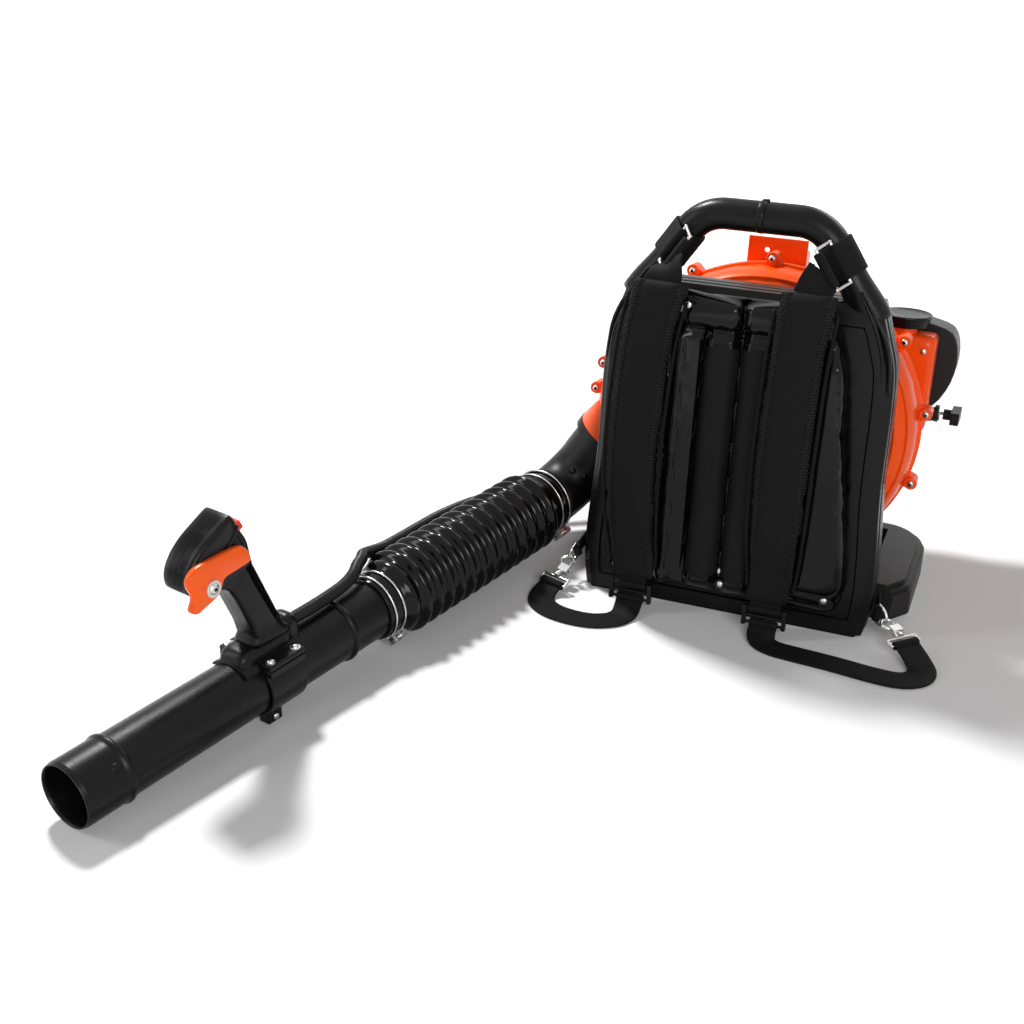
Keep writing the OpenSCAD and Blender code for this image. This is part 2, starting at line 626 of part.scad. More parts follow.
// ---------- fan wheel and crank ----------
module on_engine() leaning() translate([fan_x, fan_back, fan_z]) children();
blade_in = 72;
module blade() {
    turn = 38;
    outline = [for (i = [0:6]) let (r = blade_in + (wheel_r - 2 - blade_in) * i / 6, a = -turn * i / 6) r * [cos(a), sin(a)]];
    back = [for (i = [6:-1:0]) let (r = blade_in + (wheel_r - 2 - blade_in) * i / 6, a = -turn * i / 6 + 180 * 2.4 / (PI * r)) r * [cos(a), sin(a)]];
    polygon(concat(outline, back));
}
module impeller() color(black) on_fan() difference() {
    union() {
        rod_back(0, 0, housing_depth - 24, housing_depth - 20, wheel_r);
        rod_back(0, 0, housing_depth - 62, housing_depth - 20, 22);
        deep(16, housing_depth - 24) for (i = [0:blades - 1]) rotate(360 * i / blades) blade();
    }
    rod_back(0, 0, 0, housing_depth, shaft_r);
}
web_r = 33;
case_r = 44;
module crankshaft() color(steel) on_engine() {
    rod_back(0, 0, -64, 21, shaft_r);
    rod_back(0, 0, 13, 21, web_r);
    rod_back(0, 16, 21, 31, 7);
    rod_back(0, 0, 31, 39, web_r);
    rod_back(0, 0, 39, crankcase_depth + 19, shaft_r);
}
flywheel_r = 44;
module flywheel() color(steel) on_engine() difference() {
    union() {
        rod_back(0, 0, crankcase_depth + 3, crankcase_depth + 9, flywheel_r);
        for (i = [0:17]) rotate([0, i * 20, 0]) translate([16, crankcase_depth + 8, -1]) cube([flywheel_r - 17, 8, 2]);
        rod_back(0, 0, crankcase_depth + 3, crankcase_depth + 17, 18);
    }
    rod_back(0, 0, 0, crankcase_depth + 30, shaft_r);
}

// ---------- engine ----------
starter_r = starter_d / 2;
barrel_y = 42;
barrel_z = 60;
barrel_h = 74;
port_out = 46;
module crankcase() color(steel) on_engine() difference() {
    union() {
        rod_back(0, 0, 0, crankcase_depth, case_r);
        rod_back(0, 0, crankcase_depth - 5, crankcase_depth, starter_r);
        translate([-32, 12, 0]) cube([64, crankcase_depth - 12, barrel_z]);
        for (a = [45:90:315]) rotate([0, a, 0]) translate([case_r, 0, 0]) rod_back(0, 0, 0, 14, 7);
    }
    rod_back(0, 0, 10, 42, web_r + 3);
    rod_back(0, 0, -1, crankcase_depth + 1, shaft_r + clearance);
    translate([0, barrel_y - 16, 0]) cylinder(h = barrel_z + 1, r = 20);
}
module cylinder_block() color(steel) on_engine() translate([0, barrel_y, barrel_z]) {
    cylinder(h = barrel_h, r = 26);
    for (i = [0:fins - 1]) translate([0, 0, 3 + i * (barrel_h - 8) / fins]) cylinder(h = 2.6, d = fin_d);
    translate([-port_out, -12, 10]) cube([port_out, 24, 24]);
    translate([0, -12, 10]) cube([port_out - 2, 24, 22]);
}
plug_z = barrel_z + barrel_h;
module spark_plug() color(steel) on_engine() translate([0, barrel_y, plug_z]) {
    cylinder(h = 10, d = 19, $fn = 6);
    cylinder(h = 16, r = 6);
}
module plug_boot() color(black) on_engine() translate([0, barrel_y, plug_z]) difference() {
    union() {
        translate([0, 0, 11]) cylinder(h = 20, r = 9.5);
        translate([0, 0, 23]) rotate([-90, 0, 0]) cylinder(h = 24, r = 7);
    }
    cylinder(h = 16, r = 6);
}
module ignition_coil() color(black) on_engine() translate([-12, crankcase_depth, flywheel_r + 1.5]) cube([24, 14, 6.5]);

muffler_size = [84, 64, 78];
muffler_at = [-port_out - muffler_size[0], 14, 26];
module eased_block(size, ease) skin([for (l = [[0, ease], [ease * 0.4, ease * 0.3], [ease, 0], [size[1] - ease, 0], [size[1] - ease * 0.4, ease * 0.3], [size[1], ease]])
    let (x = size[0] - l[1], z = size[2] - l[1], r = ease)
    [for (c = [[x - r, l[1] + r, 0], [l[1] + r, l[1] + r, -90], [l[1] + r, z - r, -180], [x - r, z - r, -270]], k = [0:3])
        [c[0] + r * cos(c[2] - 30 * k), l[0], c[1] + r * sin(c[2] - 30 * k)]]]);
module muffler() color(steel) on_engine() translate(muffler_at) {
    difference() {
        eased_block(muffler_size, 10);
        translate([muffler_size[0] - 2, -1, -1]) cube([9, muffler_size[1] + 2, muffler_size[2] + 2]);
    }
    translate([muffler_size[0] - 2, barrel_y - muffler_at[1] - 14, barrel_z + 8 - muffler_at[2]]) cube([2, 28, 28]);
    translate([16, muffler_size[1] / 2, -14]) cylinder(h = 16, r = 7);
}
module muffler_guard() color(black) on_engine() translate(muffler_at) {
    difference() {
        translate([-4, muffler_size[1] + 5, -2]) cube([muffler_size[0] - 2, 3, muffler_size[2] + 4]);
        for (x = [0:4], z = [0:5]) translate([8 + x * 14, muffler_size[1] + 4, 6 + z * 12]) rotate([-90, 0, 0]) cylinder(h = 5, r = 4);
    }
    for (x = [14, muffler_size[0] - 16], z = [14, muffler_size[2] - 14])
        translate([x, muffler_size[1], z]) rotate([-90, 0, 0]) cylinder(h = 5, r = 3);
}

// ---------- intake ----------
cover_y = 47;
cover_depth = 60;
cover_plan = concat(
    [[63, 12]], curve([[150, 12], [184, 26], [203, 60], [206, 96], [196, 122], [168, 131]], 3), [[63, 131]]
);
function inset_ring(p, by) = [for (i = [0:len(p) - 1])
    let (n = len(p), t = unit(p[(i + 1) % n] - p[(i + n - 1) % n])) p[i] - by * [t[1], -t[0]]];
module cover_skin(layers) skin([for (l = layers) let (q = inset_ring(cover_plan, l[1])) [for (i = [len(q) - 1:-1:0]) [q[i][0], l[0], q[i][1]]]]);
module air_filter_cover() color(dark_grey) on_engine() difference() {
    cover_skin([[cover_y, 0], [cover_y + 40, 0], [cover_y + 50, 3], [cover_y + 57, 9], [cover_y + cover_depth, 18]]);
    cover_skin([[cover_y - 1, 3], [cover_y + 38, 3], [cover_y + 47, 6], [cover_y + 54, 12], [cover_y + cover_depth - 3, 20]]);
    rod_back(knob_at[0], knob_at[1], cover_y + cover_depth - 5, cover_y + cover_depth + 1, 4);
}
knob_at = [138, 76];
module filter_knob() color(black) on_engine() {
    rod_back(knob_at[0], knob_at[1], cover_y + cover_depth + clearance, cover_y + cover_depth + 12, 15);
    for (a = [0, 90]) translate([knob_at[0], 0, knob_at[1]]) rotate([0, a, 0])
        translate([-17, cover_y + cover_depth + 2, -4]) cube([34, 9, 8]);
    rod_back(knob_at[0], knob_at[1], cover_y + 44, cover_y + cover_depth + clearance, 3);
}
module air_filter_element() color(soft_black) on_engine() deep(cover_y, cover_y + 40)
    translate([84, 32]) polygon(concat(
        [for (i = [0:16]) [i * 5.5, i % 2 == 0 ? 84 : 78]], [for (i = [16:-1:0]) [i * 5.5, i % 2 == 0 ? 0 : 6]]));
carb_x = port_out - 2;
primer_x = carb_x + 28;
module carburettor() color(steel) on_engine() {
    deep(cover_y - 3, cover_y) polygon(cover_plan);
    translate([carb_x, barrel_y - 20, barrel_z + 6]) cube([40, cover_y - 3 - barrel_y + 20, 36]);
    translate([primer_x, barrel_y - 9, barrel_z + 3]) cylinder(h = 4, r = 10);
    translate([carb_x + 20, barrel_y - 10, barrel_z + 42]) cylinder(h = 3, r = 6);
}
choke_len = 22;
module choke_lever() color(black) on_engine() translate([carb_x + 20, barrel_y - 10, barrel_z + 45 + clearance]) {
    cylinder(h = 4, r = 7);
    translate([0, -4, 0]) cube([choke_len, 8, 4]);
    translate([choke_len, 0, 0]) cylinder(h = 9, r = 5);
}
primer_travel = 4;
module primer_bulb() color([0.6, 0.1, 0.08]) on_engine()
    translate([primer_x, barrel_y - 9, barrel_z + 3 - primer_travel - clearance]) rotate([180, 0, 0]) {
        cylinder(h = 3, r = 8);
        translate([0, 0, 3]) intersection() {
            sphere(r = 7);
            cylinder(h = 8, r = 8);
        }
    }

// ---------- fuel ----------
tank_x = [96, 182];
tank_z = [-1, 123];
tank_y = [4, cover_y - 5];
cap_at = [140, 20];
cap_lift = 9;
cap_body = 9.5;
cap_rim = 4.5;
neck_r = 16;
module fuel_tank() color(orange) on_engine() {
    translate([tank_x[0], tank_y[0], tank_z[0]])
        eased_block([tank_x[1] - tank_x[0], tank_y[1] - tank_y[0], tank_z[1] - tank_z[0]], 8);
    translate([cap_at[0], cap_at[1], tank_z[1] - 6]) cylinder(h = 6 + cap_lift, r = neck_r);
}
module fuel_cap() color(black) on_engine() translate([cap_at[0], cap_at[1], tank_z[1] + cap_lift + clearance]) {
    cylinder(h = cap_body, d = cap_d - 4);
    translate([0, 0, cap_body]) cylinder(h = cap_rim, d = cap_d);
}

// ---------- recoil starter ----------
starter_wall = 3;
starter_depth = 45;
pulley_y = crankcase_depth + 22;
eyelet = [192, 6];
rope_r = 2;
reach = norm(eyelet);
rope_angle = atan2(eyelet[1], eyelet[0]) - acos(pulley_r / reach);
rope_start = pulley_r * [cos(rope_angle), sin(rope_angle)];
rope_y = pulley_y + 5;
module rope_line(from, to, r) {
    d = unit(eyelet - rope_start);
    rod([rope_start[0] + from * d[0], rope_y, rope_start[1] + from * d[1]],
        [rope_start[0] + to * d[0], rope_y, rope_start[1] + to * d[1]], r);
}
rope_run = norm(eyelet - rope_start);
module starter_housing() color(dark_grey) on_engine() difference() {
    union() {
        rod_back(0, 0, crankcase_depth, crankcase_depth + starter_depth - 6, starter_r);
        rod_back(0, 0, crankcase_depth + starter_depth - 6, crankcase_depth + starter_depth, starter_r - 6);
        rope_line(30, rope_run, 9);
        translate([eyelet[0] - 5, rope_y, eyelet[1]]) rotate([0, 90, 0]) cylinder(h = 5, r = 11);
    }
    difference() {
        union() {
            rod_back(0, 0, crankcase_depth - 1, crankcase_depth + starter_depth - 9, starter_r - starter_wall);
            rod_back(0, 0, crankcase_depth, crankcase_depth + starter_depth - starter_wall, starter_r - 6 - starter_wall);
        }
        rod_back(0, 0, pulley_y, crankcase_depth + starter_depth, 6);
    }
    rope_line(0, rope_run + 20, rope_r + 1.5);
    for (i = [0:11]) rotate([0, i * 30, 0]) translate([20, crankcase_depth + starter_depth - 5, -3]) cube([24, 8, 6]);
}
module starter_pulley() color(black) on_engine() difference() {
    union() {
        rod_back(0, 0, pulley_y, pulley_y + 2, pulley_r + 3);
        rod_back(0, 0, pulley_y, pulley_y + 10, pulley_r - rope_r);
        rod_back(0, 0, pulley_y + 8, pulley_y + 10, pulley_r + 3);
    }
    rod_back(0, 0, pulley_y - 1, pulley_y + 12, 6 + clearance);
}
module starter_rope() color([0.8, 0.8, 0.75]) on_engine() {
    rope_line(0, rope_run + 5.5, rope_r);
}
module starter_grip() color(black) on_engine() translate([eyelet[0] + 6, rope_y, eyelet[1]]) {
    rotate([0, 90, 0]) cylinder(h = 12, r = 7);
    translate([10, -19, -8]) cube([11, 38, 16]);
}

// ---------- blow tube ----------
function lean_dir(v) = [v[0], v[1] * cos(lean) + v[2] * sin(lean), v[2] * cos(lean) - v[1] * sin(lean)];
function lean_point(v) = lean_dir(v) + [0, -front_reach, 0];
blow_out = lean_dir(outlet_dir);
blow_on = [-sin(tube_splay) * cos(tube_fall), -cos(tube_splay) * cos(tube_fall), -sin(tube_fall)];
elbow_turn = acos(blow_out * blow_on);
outlet_point = lean_point(outlet_at);
elbow_end = outlet_point + elbow_neck * blow_out + elbow_bend * tan(elbow_turn / 2) * (blow_out + blow_on);
tube_x = [cos(tube_splay), -sin(tube_splay), 0];
tube_y = cross(blow_on, tube_x);
function tube_point(v) = elbow_end + v[0] * tube_x + v[1] * tube_y + v[2] * blow_on;
// Blow tube's axes: z towards the mouth, y up, x to the frame's side
module on_tube() multmatrix([
    [tube_x[0], tube_y[0], blow_on[0], elbow_end[0]], [tube_x[1], tube_y[1], blow_on[1], elbow_end[1]],
    [tube_x[2], tube_y[2], blow_on[2], elbow_end[2]], [0, 0, 0, 1]]) children();
bend_side = atan2(-blow_out * tube_y, -blow_out * tube_x);

bend_step = 0.5;
module elbow_ring(h, grow) difference() {
    cylinder(h = h, r = elbow_r + grow);
    translate([0, 0, -1]) cylinder(h = h + 2, r = elbow_r - pipe_wall);
}
module elbow() color(soft_black) on_tube() rotate([0, 0, bend_side]) {
    translate([0, 0, -2]) elbow_ring(cuff_len + 1, 0);
    rotate_extrude() translate([elbow_r, 0]) polygon([[-1, -5], [0.8, -5], [2.3, -4], [2.3, -2.6], [0.8, -1.6], [-1, -1.6]]);
    translate([elbow_bend, 0, 0]) rotate([90, 0, 0]) rotate([0, 0, 180]) rotate_extrude(angle = elbow_turn)
        translate([elbow_bend, 0]) difference() {
            circle(r = elbow_r - bend_step);
            circle(r = elbow_r - pipe_wall + bend_step);
        }
    translate([elbow_bend * (1 - cos(elbow_turn)), 0, -elbow_bend * sin(elbow_turn)]) rotate([0, 180 - elbow_turn, 0]) {
        translate([0, 0, -2]) elbow_ring(elbow_neck + 1.5, 0);
        translate([0, 0, elbow_neck - 11]) elbow_ring(10.5, 5);
    }
}

cuff_len = 28;
rib_start = cuff_len + 9;
bulb_len = 16.4;
front_cuff = rib_start + ribbed_len + bulb_len;
rib_pitch = ribbed_len / ribs;
bellows_wall = 2.4;
cuff_r = elbow_r;
spigot_r = pipe_r + clearance;
bellows_outer = concat(
    [[cuff_r + 3, 1], [cuff_r + 3, cuff_len]],
    [for (i = [0:ribs - 1], q = [[0, 0.1], [0.75, 0.3], [1, 0.5], [0.75, 0.7], [0, 0.9]])
        [groove_r + (rib_r - groove_r) * q[0], rib_start + rib_pitch * (i + q[1])]],
    [[groove_r + 3, front_cuff - bulb_len + 3], [groove_r + 3, front_cuff - 9], [groove_r, front_cuff - 4],
     [spigot_r + 3, front_cuff], [spigot_r + 3, front_cuff + cuff_len]]
);
bellows_inner = [
    [spigot_r, front_cuff + cuff_len], [spigot_r, front_cuff - 3], [groove_r - bellows_wall, front_cuff - 8],
    [groove_r - bellows_wall, cuff_len + 6], [cuff_r, cuff_len], [cuff_r, 1]
];
module bellows() color(soft_black) on_tube() rotate_extrude($fn = 64) polygon(concat(bellows_outer, bellows_inner));

wire_r = 1.3;
clamp_turn = 45;
wire_gap = 7.5;
module wire_clamp(at, r) translate([0, 0, at]) {
    for (z = [-wire_gap, wire_gap]) translate([0, 0, z]) rotate_extrude() translate([r + wire_r, 0]) circle(r = wire_r, $fn = 16);
    rotate([0, 0, clamp_turn]) {
        for (x = [-7, 4]) translate([x, -r - 11, -wire_gap - 2]) cube([3, 10, 2 * wire_gap + 4]);
        translate([-13, -r - 7, 0]) rotate([0, 90, 0]) cylinder(h = 26, r = 2, $fn = 24);
        translate([13, -r - 7, 0]) rotate([0, 90, 0]) cylinder(h = 4, r = 4, $fn = 24);
    }
}
module clamp_rear() color(steel) on_tube() wire_clamp(cuff_len / 2, cuff_r + 3);
module clamp_front() color(steel) on_tube() wire_clamp(front_cuff + cuff_len / 2, spigot_r + 3 + clearance);

bead_at = [front_cuff + 83, tube_len - 54];
pipe_start = front_cuff - 4;
module blow_pipe() color(black) on_tube() difference() {
    union() {
        translate([0, 0, pipe_start]) cylinder(h = tube_len - pipe_start, r = pipe_r);
        for (z = bead_at) translate([0, 0, z]) rotate_extrude() translate([pipe_r - 2, 0]) circle(r = 5, $fn = 24);
        translate([0, 0, bead_at[1]]) cylinder(h = tube_len - bead_at[1] - 4, r = pipe_r + 1);
    }
    translate([0, 0, pipe_start - 1]) cylinder(h = tube_len, r = pipe_r - pipe_wall);
}

// ---------- control handle ----------
handle_z = tube_len - handle_from_mouth;
module on_handle() on_tube() translate([0, 0, handle_z]) children();
// A side outline drawn as [towards the mouth, up], given thickness across the tube
module across(from, to) translate([to, 0, 0]) rotate([0, -90, 0]) linear_extrude(to - from) children();
function saddle_top(z) = 54 - (z + 30) / 15;
hump = -52;
saddle_side = [
    [hump, 20], [hump, 57], [hump + 5, 61], [-36, 61], [-30, saddle_top(-30)], [30, saddle_top(30)], [36, 48], [39, 42], [36, 20]
];
split_y = 28;
flange_x = [24, 39];
screw_x = 31;
band_span = [-34, 18];
band_screws = [-26, 10];
flange_t = 7;
module side_flanges(from, to) for (x = [-1, 1]) translate([x > 0 ? flange_x[0] : -flange_x[1], from, band_span[0]])
    cube([flange_x[1] - flange_x[0], to - from, band_span[1] - band_span[0]]);
module handle_saddle() color(black) on_handle() difference() {
    union() {
        across(-14, 14) polygon(saddle_side);
        across(-20, 20) polygon([for (q = saddle_side) [max(q[0], hump + 4), min(q[1], saddle_top(q[0]))]]);
        translate([0, 0, hump + 8]) cylinder(h = 84, r = pipe_r + 4);
        side_flanges(split_y, split_y + flange_t);
    }
    translate([0, 0, -80]) cylinder(h = 160, r = pipe_r);
    translate([-80, split_y - 100, -80]) cube([160, 100, 160]);
}
module handle_band() color(black) on_handle() difference() {
    union() {
        translate([0, 0, band_span[0]]) cylinder(h = band_span[1] - band_span[0], r = pipe_r + 4);
        side_flanges(split_y - flange_t, split_y);
        translate([14, -pipe_r - 6, -2]) cube([14, 14, 20]);
    }
    translate([0, 0, -80]) cylinder(h = 160, r = pipe_r);
    translate([-80, split_y, -80]) cube([160, 100, 160]);
}
lever_pivot = [69, 150];
module handle_screws() color(steel) on_handle() {
    for (x = [-1, 1] * screw_x, z = band_screws)
        translate([x, split_y + flange_t, z]) rotate([-90, 0, 0]) cylinder(h = 3.5, r = 4.5);
    translate([head_half, lever_pivot[1], lever_pivot[0]]) rotate([0, 90, 0]) cylinder(h = lever_t + 1.2, r = pivot_r);
    translate([head_half + lever_t + 1.2, lever_pivot[1], lever_pivot[0]]) rotate([0, 90, 0]) cylinder(h = 3, r = 7);
}
grip_side = [
    [-29, saddle_top(-29)], [-23, 67], [-17.4, 79], [-1, 116], [11.6, 148], [10.5, 155], [10, 162], [13, 178], [20, 192],
    [26, 206], [30, 211], [35, 210], [48, 201], [66, 193.5], [77, 186], [86, 176.5], [92, 166], [94, 156], [91, 148],
    [80, 142], [58, 137], [42, 130], [33, 116], [27, 102], [17, 76.5], [7, saddle_top(7)]
];
head_side = [for (i = [4:20]) grip_side[i]];
edge_ease = 3;
button_at = [16.5, 186];
button_dir = unit([14, -7]);
button_out = 10;
module button_pocket(grow, from, to)
    translate([-7 - grow, button_at[1] + from * button_dir[1], button_at[0] + from * button_dir[0]])
        rotate([atan2(-button_dir[1], button_dir[0]), 0, 0]) translate([0, -6 - grow, 0])
            cube([14 + 2 * grow, 12 + 2 * grow, to - from]);
// A moulded half shell: an outline with its outer edge stepped in
module eased_side(side, half) {
    turned = [for (i = [len(side) - 1:-1:0]) side[i]];
    across(0, half - edge_ease) polygon(side);
    across(half - edge_ease, half - edge_ease / 3) polygon(inset_ring(turned, edge_ease / 3));
    across(half - edge_ease / 3, half) polygon(inset_ring(turned, edge_ease * 0.8));
}
module grip_shell(side) color(black) on_handle() difference() {
    mirror([side < 0 ? 1 : 0, 0, 0]) {
        eased_side(grip_side, grip_half);
        eased_side(head_side, head_half);
    }
    button_pocket(clearance, -4, 9);
}
module grip_left() grip_shell(-1);
module grip_right() grip_shell(1);
lever_gap = 0.6;
lever_side = [
    [31, 180], [23, 175], [18, 167], [18, 158], [52, 154], [57, 146], [63, 139], [80, 133.5], [91, 131], [99, 137],
    [95, 146], [95, 154], [99, 164], [96, 174], [84, 180], [60, 181]
];
module throttle_lever() color([1, 0.35, 0.05]) on_handle() difference() {
    translate([head_half + lever_gap, 0, 0]) across(0, lever_t) polygon(lever_side);
    translate([0, lever_pivot[1], lever_pivot[0]]) rotate([0, 90, 0]) cylinder(h = 60, r = pivot_r + clearance);
}
module stop_button() color([0.8, 0.1, 0.05]) on_handle() button_pocket(-0.6, -button_out, 9 - button_travel - 1);

// ---------- throttle conduit ----------
conduit_r = 7.5;
// From the saddle along the blow tube, in the tube's axes
conduit_ahead = [
    [0, 46, handle_z + hump], [0, 46, handle_z + hump - 12], [0, 46, handle_z - 87], [-2, 45.5, front_cuff + 84],
    [-4, 46.5, front_cuff + 58], [-10, 48.5, front_cuff + 36], [-22, 47, front_cuff + 17], [-33, 43.5, front_cuff - 2],
    [-46, 38, front_cuff - 19], [-52, 31, front_cuff - 39], [-54.8, 25, front_cuff - 66], [-55.2, 24, 225], [-55.2, 24, 190],
    [-55.8, 23, 155], [-57.2, 19, 120], [-58.8, 13.5, 88], [-60, 7.5, 60], [-59, 1.5, 34], [-55, -5, 6]
];
// Behind the elbow and under the crankcase, in world axes
conduit_behind = [
    [-314, 0, 52], [-298, 30, 58], [-276, 58, 78], [-255, 84, 100], [-222, 98, 118], [-190, 104, 130], [-150, 104, 134],
    [-105, 103, 127], [-60, 102, 117], [-20, 102, 111], [15, 102, 112], [46, 103, 122], [66, 106, 148], [71, 110, 180]
];
carb_foot = [fan_x + carb_x + 8, fan_back + barrel_y - 9, fan_z + barrel_z + 6];
conduit_path = curve(concat(
    [for (q = conduit_ahead) tube_point(q)], conduit_behind, [for (z = [-40, -20, 0]) lean_point(carb_foot + [0, 0, z])]), 2);
// The stretch of the conduit between two knots, cut square to the whole path
module conduit(from, to) color(soft_black) skin([
    for (i = [2 * from:2 * to])
        let (t = tangent(conduit_path, i), s = unit(cross(t, abs(t[2]) < 0.9 ? [0, 0, 1] : [0, 1, 0])), u = cross(t, s))
            [for (j = [0:9]) conduit_path[i] + conduit_r * (cos(36 * j) * s + sin(36 * j) * u)]
]);
module conduit_front() conduit(0, 7);
module conduit_middle() conduit(7, 18);
module conduit_loop() conduit(18, 24);
module conduit_rear() conduit(24, len(conduit_ahead) + len(conduit_behind) + 2);

frame_upright();
frame_base();
back_pad();
pad_rivets();
strap_pad_left();
strap_pad_right();
upper_loop_left();
upper_loop_right();
strap_rings();
slide_buckles();
lower_webbing_left();
lower_webbing_right();
anchor_tabs();
snap_hooks();
hook_gate_left();
hook_gate_right();
volute_front();
volute_rear();
housing_screws();
inlet_guard();
top_bracket();
rubber_mounts();
crankcase();
cylinder_block();
spark_plug();
plug_boot();
ignition_coil();
muffler();
muffler_guard();
carburettor();
air_filter_element();
air_filter_cover();
filter_knob();
choke_lever();
primer_bulb();
fuel_tank();
fuel_cap();
starter_housing();
starter_pulley();
starter_rope();
starter_grip();
impeller();
crankshaft();
flywheel();
elbow();
bellows();
clamp_rear();
clamp_front();
blow_pipe();
handle_saddle();
handle_band();
grip_left();
grip_right();
throttle_lever();
handle_screws();
stop_button();
conduit_front();
conduit_middle();
conduit_loop();
conduit_rear();
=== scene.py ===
# Backpack leaf blower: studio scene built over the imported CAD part
import json
import math

import bmesh
import bpy
from mathutils import Matrix, Vector
from mathutils.bvhtree import BVHTree


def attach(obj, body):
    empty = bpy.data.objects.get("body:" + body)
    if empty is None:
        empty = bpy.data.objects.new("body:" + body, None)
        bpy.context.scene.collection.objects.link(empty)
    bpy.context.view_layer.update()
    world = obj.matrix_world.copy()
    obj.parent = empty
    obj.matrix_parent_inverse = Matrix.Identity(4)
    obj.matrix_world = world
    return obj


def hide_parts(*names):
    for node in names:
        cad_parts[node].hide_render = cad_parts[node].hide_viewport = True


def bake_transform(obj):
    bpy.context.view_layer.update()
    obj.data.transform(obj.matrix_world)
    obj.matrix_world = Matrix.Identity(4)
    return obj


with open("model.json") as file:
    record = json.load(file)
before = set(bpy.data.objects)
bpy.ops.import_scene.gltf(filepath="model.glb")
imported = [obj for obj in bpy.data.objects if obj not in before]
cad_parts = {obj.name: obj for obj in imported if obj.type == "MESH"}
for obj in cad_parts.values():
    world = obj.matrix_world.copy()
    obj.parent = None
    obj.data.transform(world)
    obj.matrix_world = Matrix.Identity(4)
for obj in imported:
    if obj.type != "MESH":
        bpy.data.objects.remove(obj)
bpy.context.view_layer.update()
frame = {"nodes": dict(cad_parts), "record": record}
nodes = frame["nodes"]
leftRight = ((-1, "Left"), (1, "Right"))
print("frame loaded:", len(nodes), "solids")

# the two leaning sets of axes that most pieces are placed in
stance = {"lean": 5.0, "reach": 0.130, "splay": 15.0, "fall": 1.85,
          "elbowEnd": (-0.2635945, -0.0365892, 0.0623971)}
leanCos, leanSin = math.cos(math.radians(stance["lean"])), math.sin(math.radians(stance["lean"]))


def leaning(x, d, z):  # x to the right, d back from the frame's face, z up the frame
    return Vector((x, d * leanCos + z * leanSin - stance["reach"], z * leanCos - d * leanSin))


def leanDir(x, d, z):
    return Vector((x, d * leanCos + z * leanSin, z * leanCos - d * leanSin))


splay, fall = math.radians(stance["splay"]), math.radians(stance["fall"])
blowOn = Vector((-math.sin(splay) * math.cos(fall), -math.cos(splay) * math.cos(fall), -math.sin(fall)))
tubeX = Vector((math.cos(splay), -math.sin(splay), 0))
tubeY = blowOn.cross(tubeX)
elbowEnd = Vector(stance["elbowEnd"])


def tubePoint(x, y, z):  # z towards the mouth, y up, x towards the frame
    return elbowEnd + x * tubeX + y * tubeY + z * blowOn


# materials
def newMaterial(name):
    mat = bpy.data.materials.new(name)
    mat.use_nodes = True
    tree = mat.node_tree
    return mat, tree, tree.nodes["Principled BSDF"]


def addNode(tree, kind, **values):
    node = tree.nodes.new(kind)
    for key, value in values.items():
        if key in node.inputs:
            node.inputs[key].default_value = value
        else:
            setattr(node, key, value)
    return node


def colourRamp(tree, source, stops):
    ramp = tree.nodes.new("ShaderNodeValToRGB")
    tree.links.new(source, ramp.inputs["Fac"])
    elements = ramp.color_ramp.elements
    while len(elements) < len(stops):
        elements.new(0.5)
    for element, (at, colour) in zip(elements, stops):
        element.position = at
        element.color = (*colour, 1) if len(colour) == 3 else colour
    return ramp


def grey(v):
    return (v, v, v)


def surface(name, look):  # look: colour, dark, rough, grain, grainDepth, wave, metal, coat, specular
    mat, tree, bsdf = newMaterial(name)
    coords = addNode(tree, "ShaderNodeTexCoord")
    blotch = addNode(tree, "ShaderNodeTexNoise", Scale=look.get("blotch", 14), Detail=4, Roughness=0.6)
    tree.links.new(coords.outputs["Object"], blotch.inputs["Vector"])
    tint = colourRamp(tree, blotch.outputs["Fac"], [(0.3, look["dark"]), (0.75, look["colour"])])
    tree.links.new(tint.outputs["Color"], bsdf.inputs["Base Color"])
    low, high = look["rough"]
    gloss = colourRamp(tree, blotch.outputs["Fac"], [(0.3, grey(low)), (0.8, grey(high))])
    tree.links.new(gloss.outputs["Color"], bsdf.inputs["Roughness"])
    grain = addNode(tree, "ShaderNodeTexNoise", Scale=look.get("grain", 900), Detail=3, Roughness=0.6)
    tree.links.new(coords.outputs["Object"], grain.inputs["Vector"])
    bump = addNode(tree, "ShaderNodeBump", Strength=look.get("grainDepth", 0.15), Distance=0.0006)
    tree.links.new(grain.outputs["Fac"], bump.inputs["Height"])
    wave = addNode(tree, "ShaderNodeTexNoise", Scale=look.get("waveScale", 26), Detail=2)
    tree.links.new(coords.outputs["Object"], wave.inputs["Vector"])
    ripple = addNode(tree, "ShaderNodeBump", Strength=look.get("wave", 0.05), Distance=0.004)
    tree.links.new(wave.outputs["Fac"], ripple.inputs["Height"])
    tree.links.new(bump.outputs["Normal"], ripple.inputs["Normal"])
    tree.links.new(ripple.outputs["Normal"], bsdf.inputs["Normal"])
    bsdf.inputs["Metallic"].default_value = look.get("metal", 0)
    bsdf.inputs["Coat Weight"].default_value = look.get("coat", 0)
    bsdf.inputs["Coat Roughness"].default_value = 0.12
    bsdf.inputs["Sheen Weight"].default_value = look.get("sheen", 0)
    bsdf.inputs["Specular IOR Level"].default_value = look.get("specular", 0.5)
    return mat


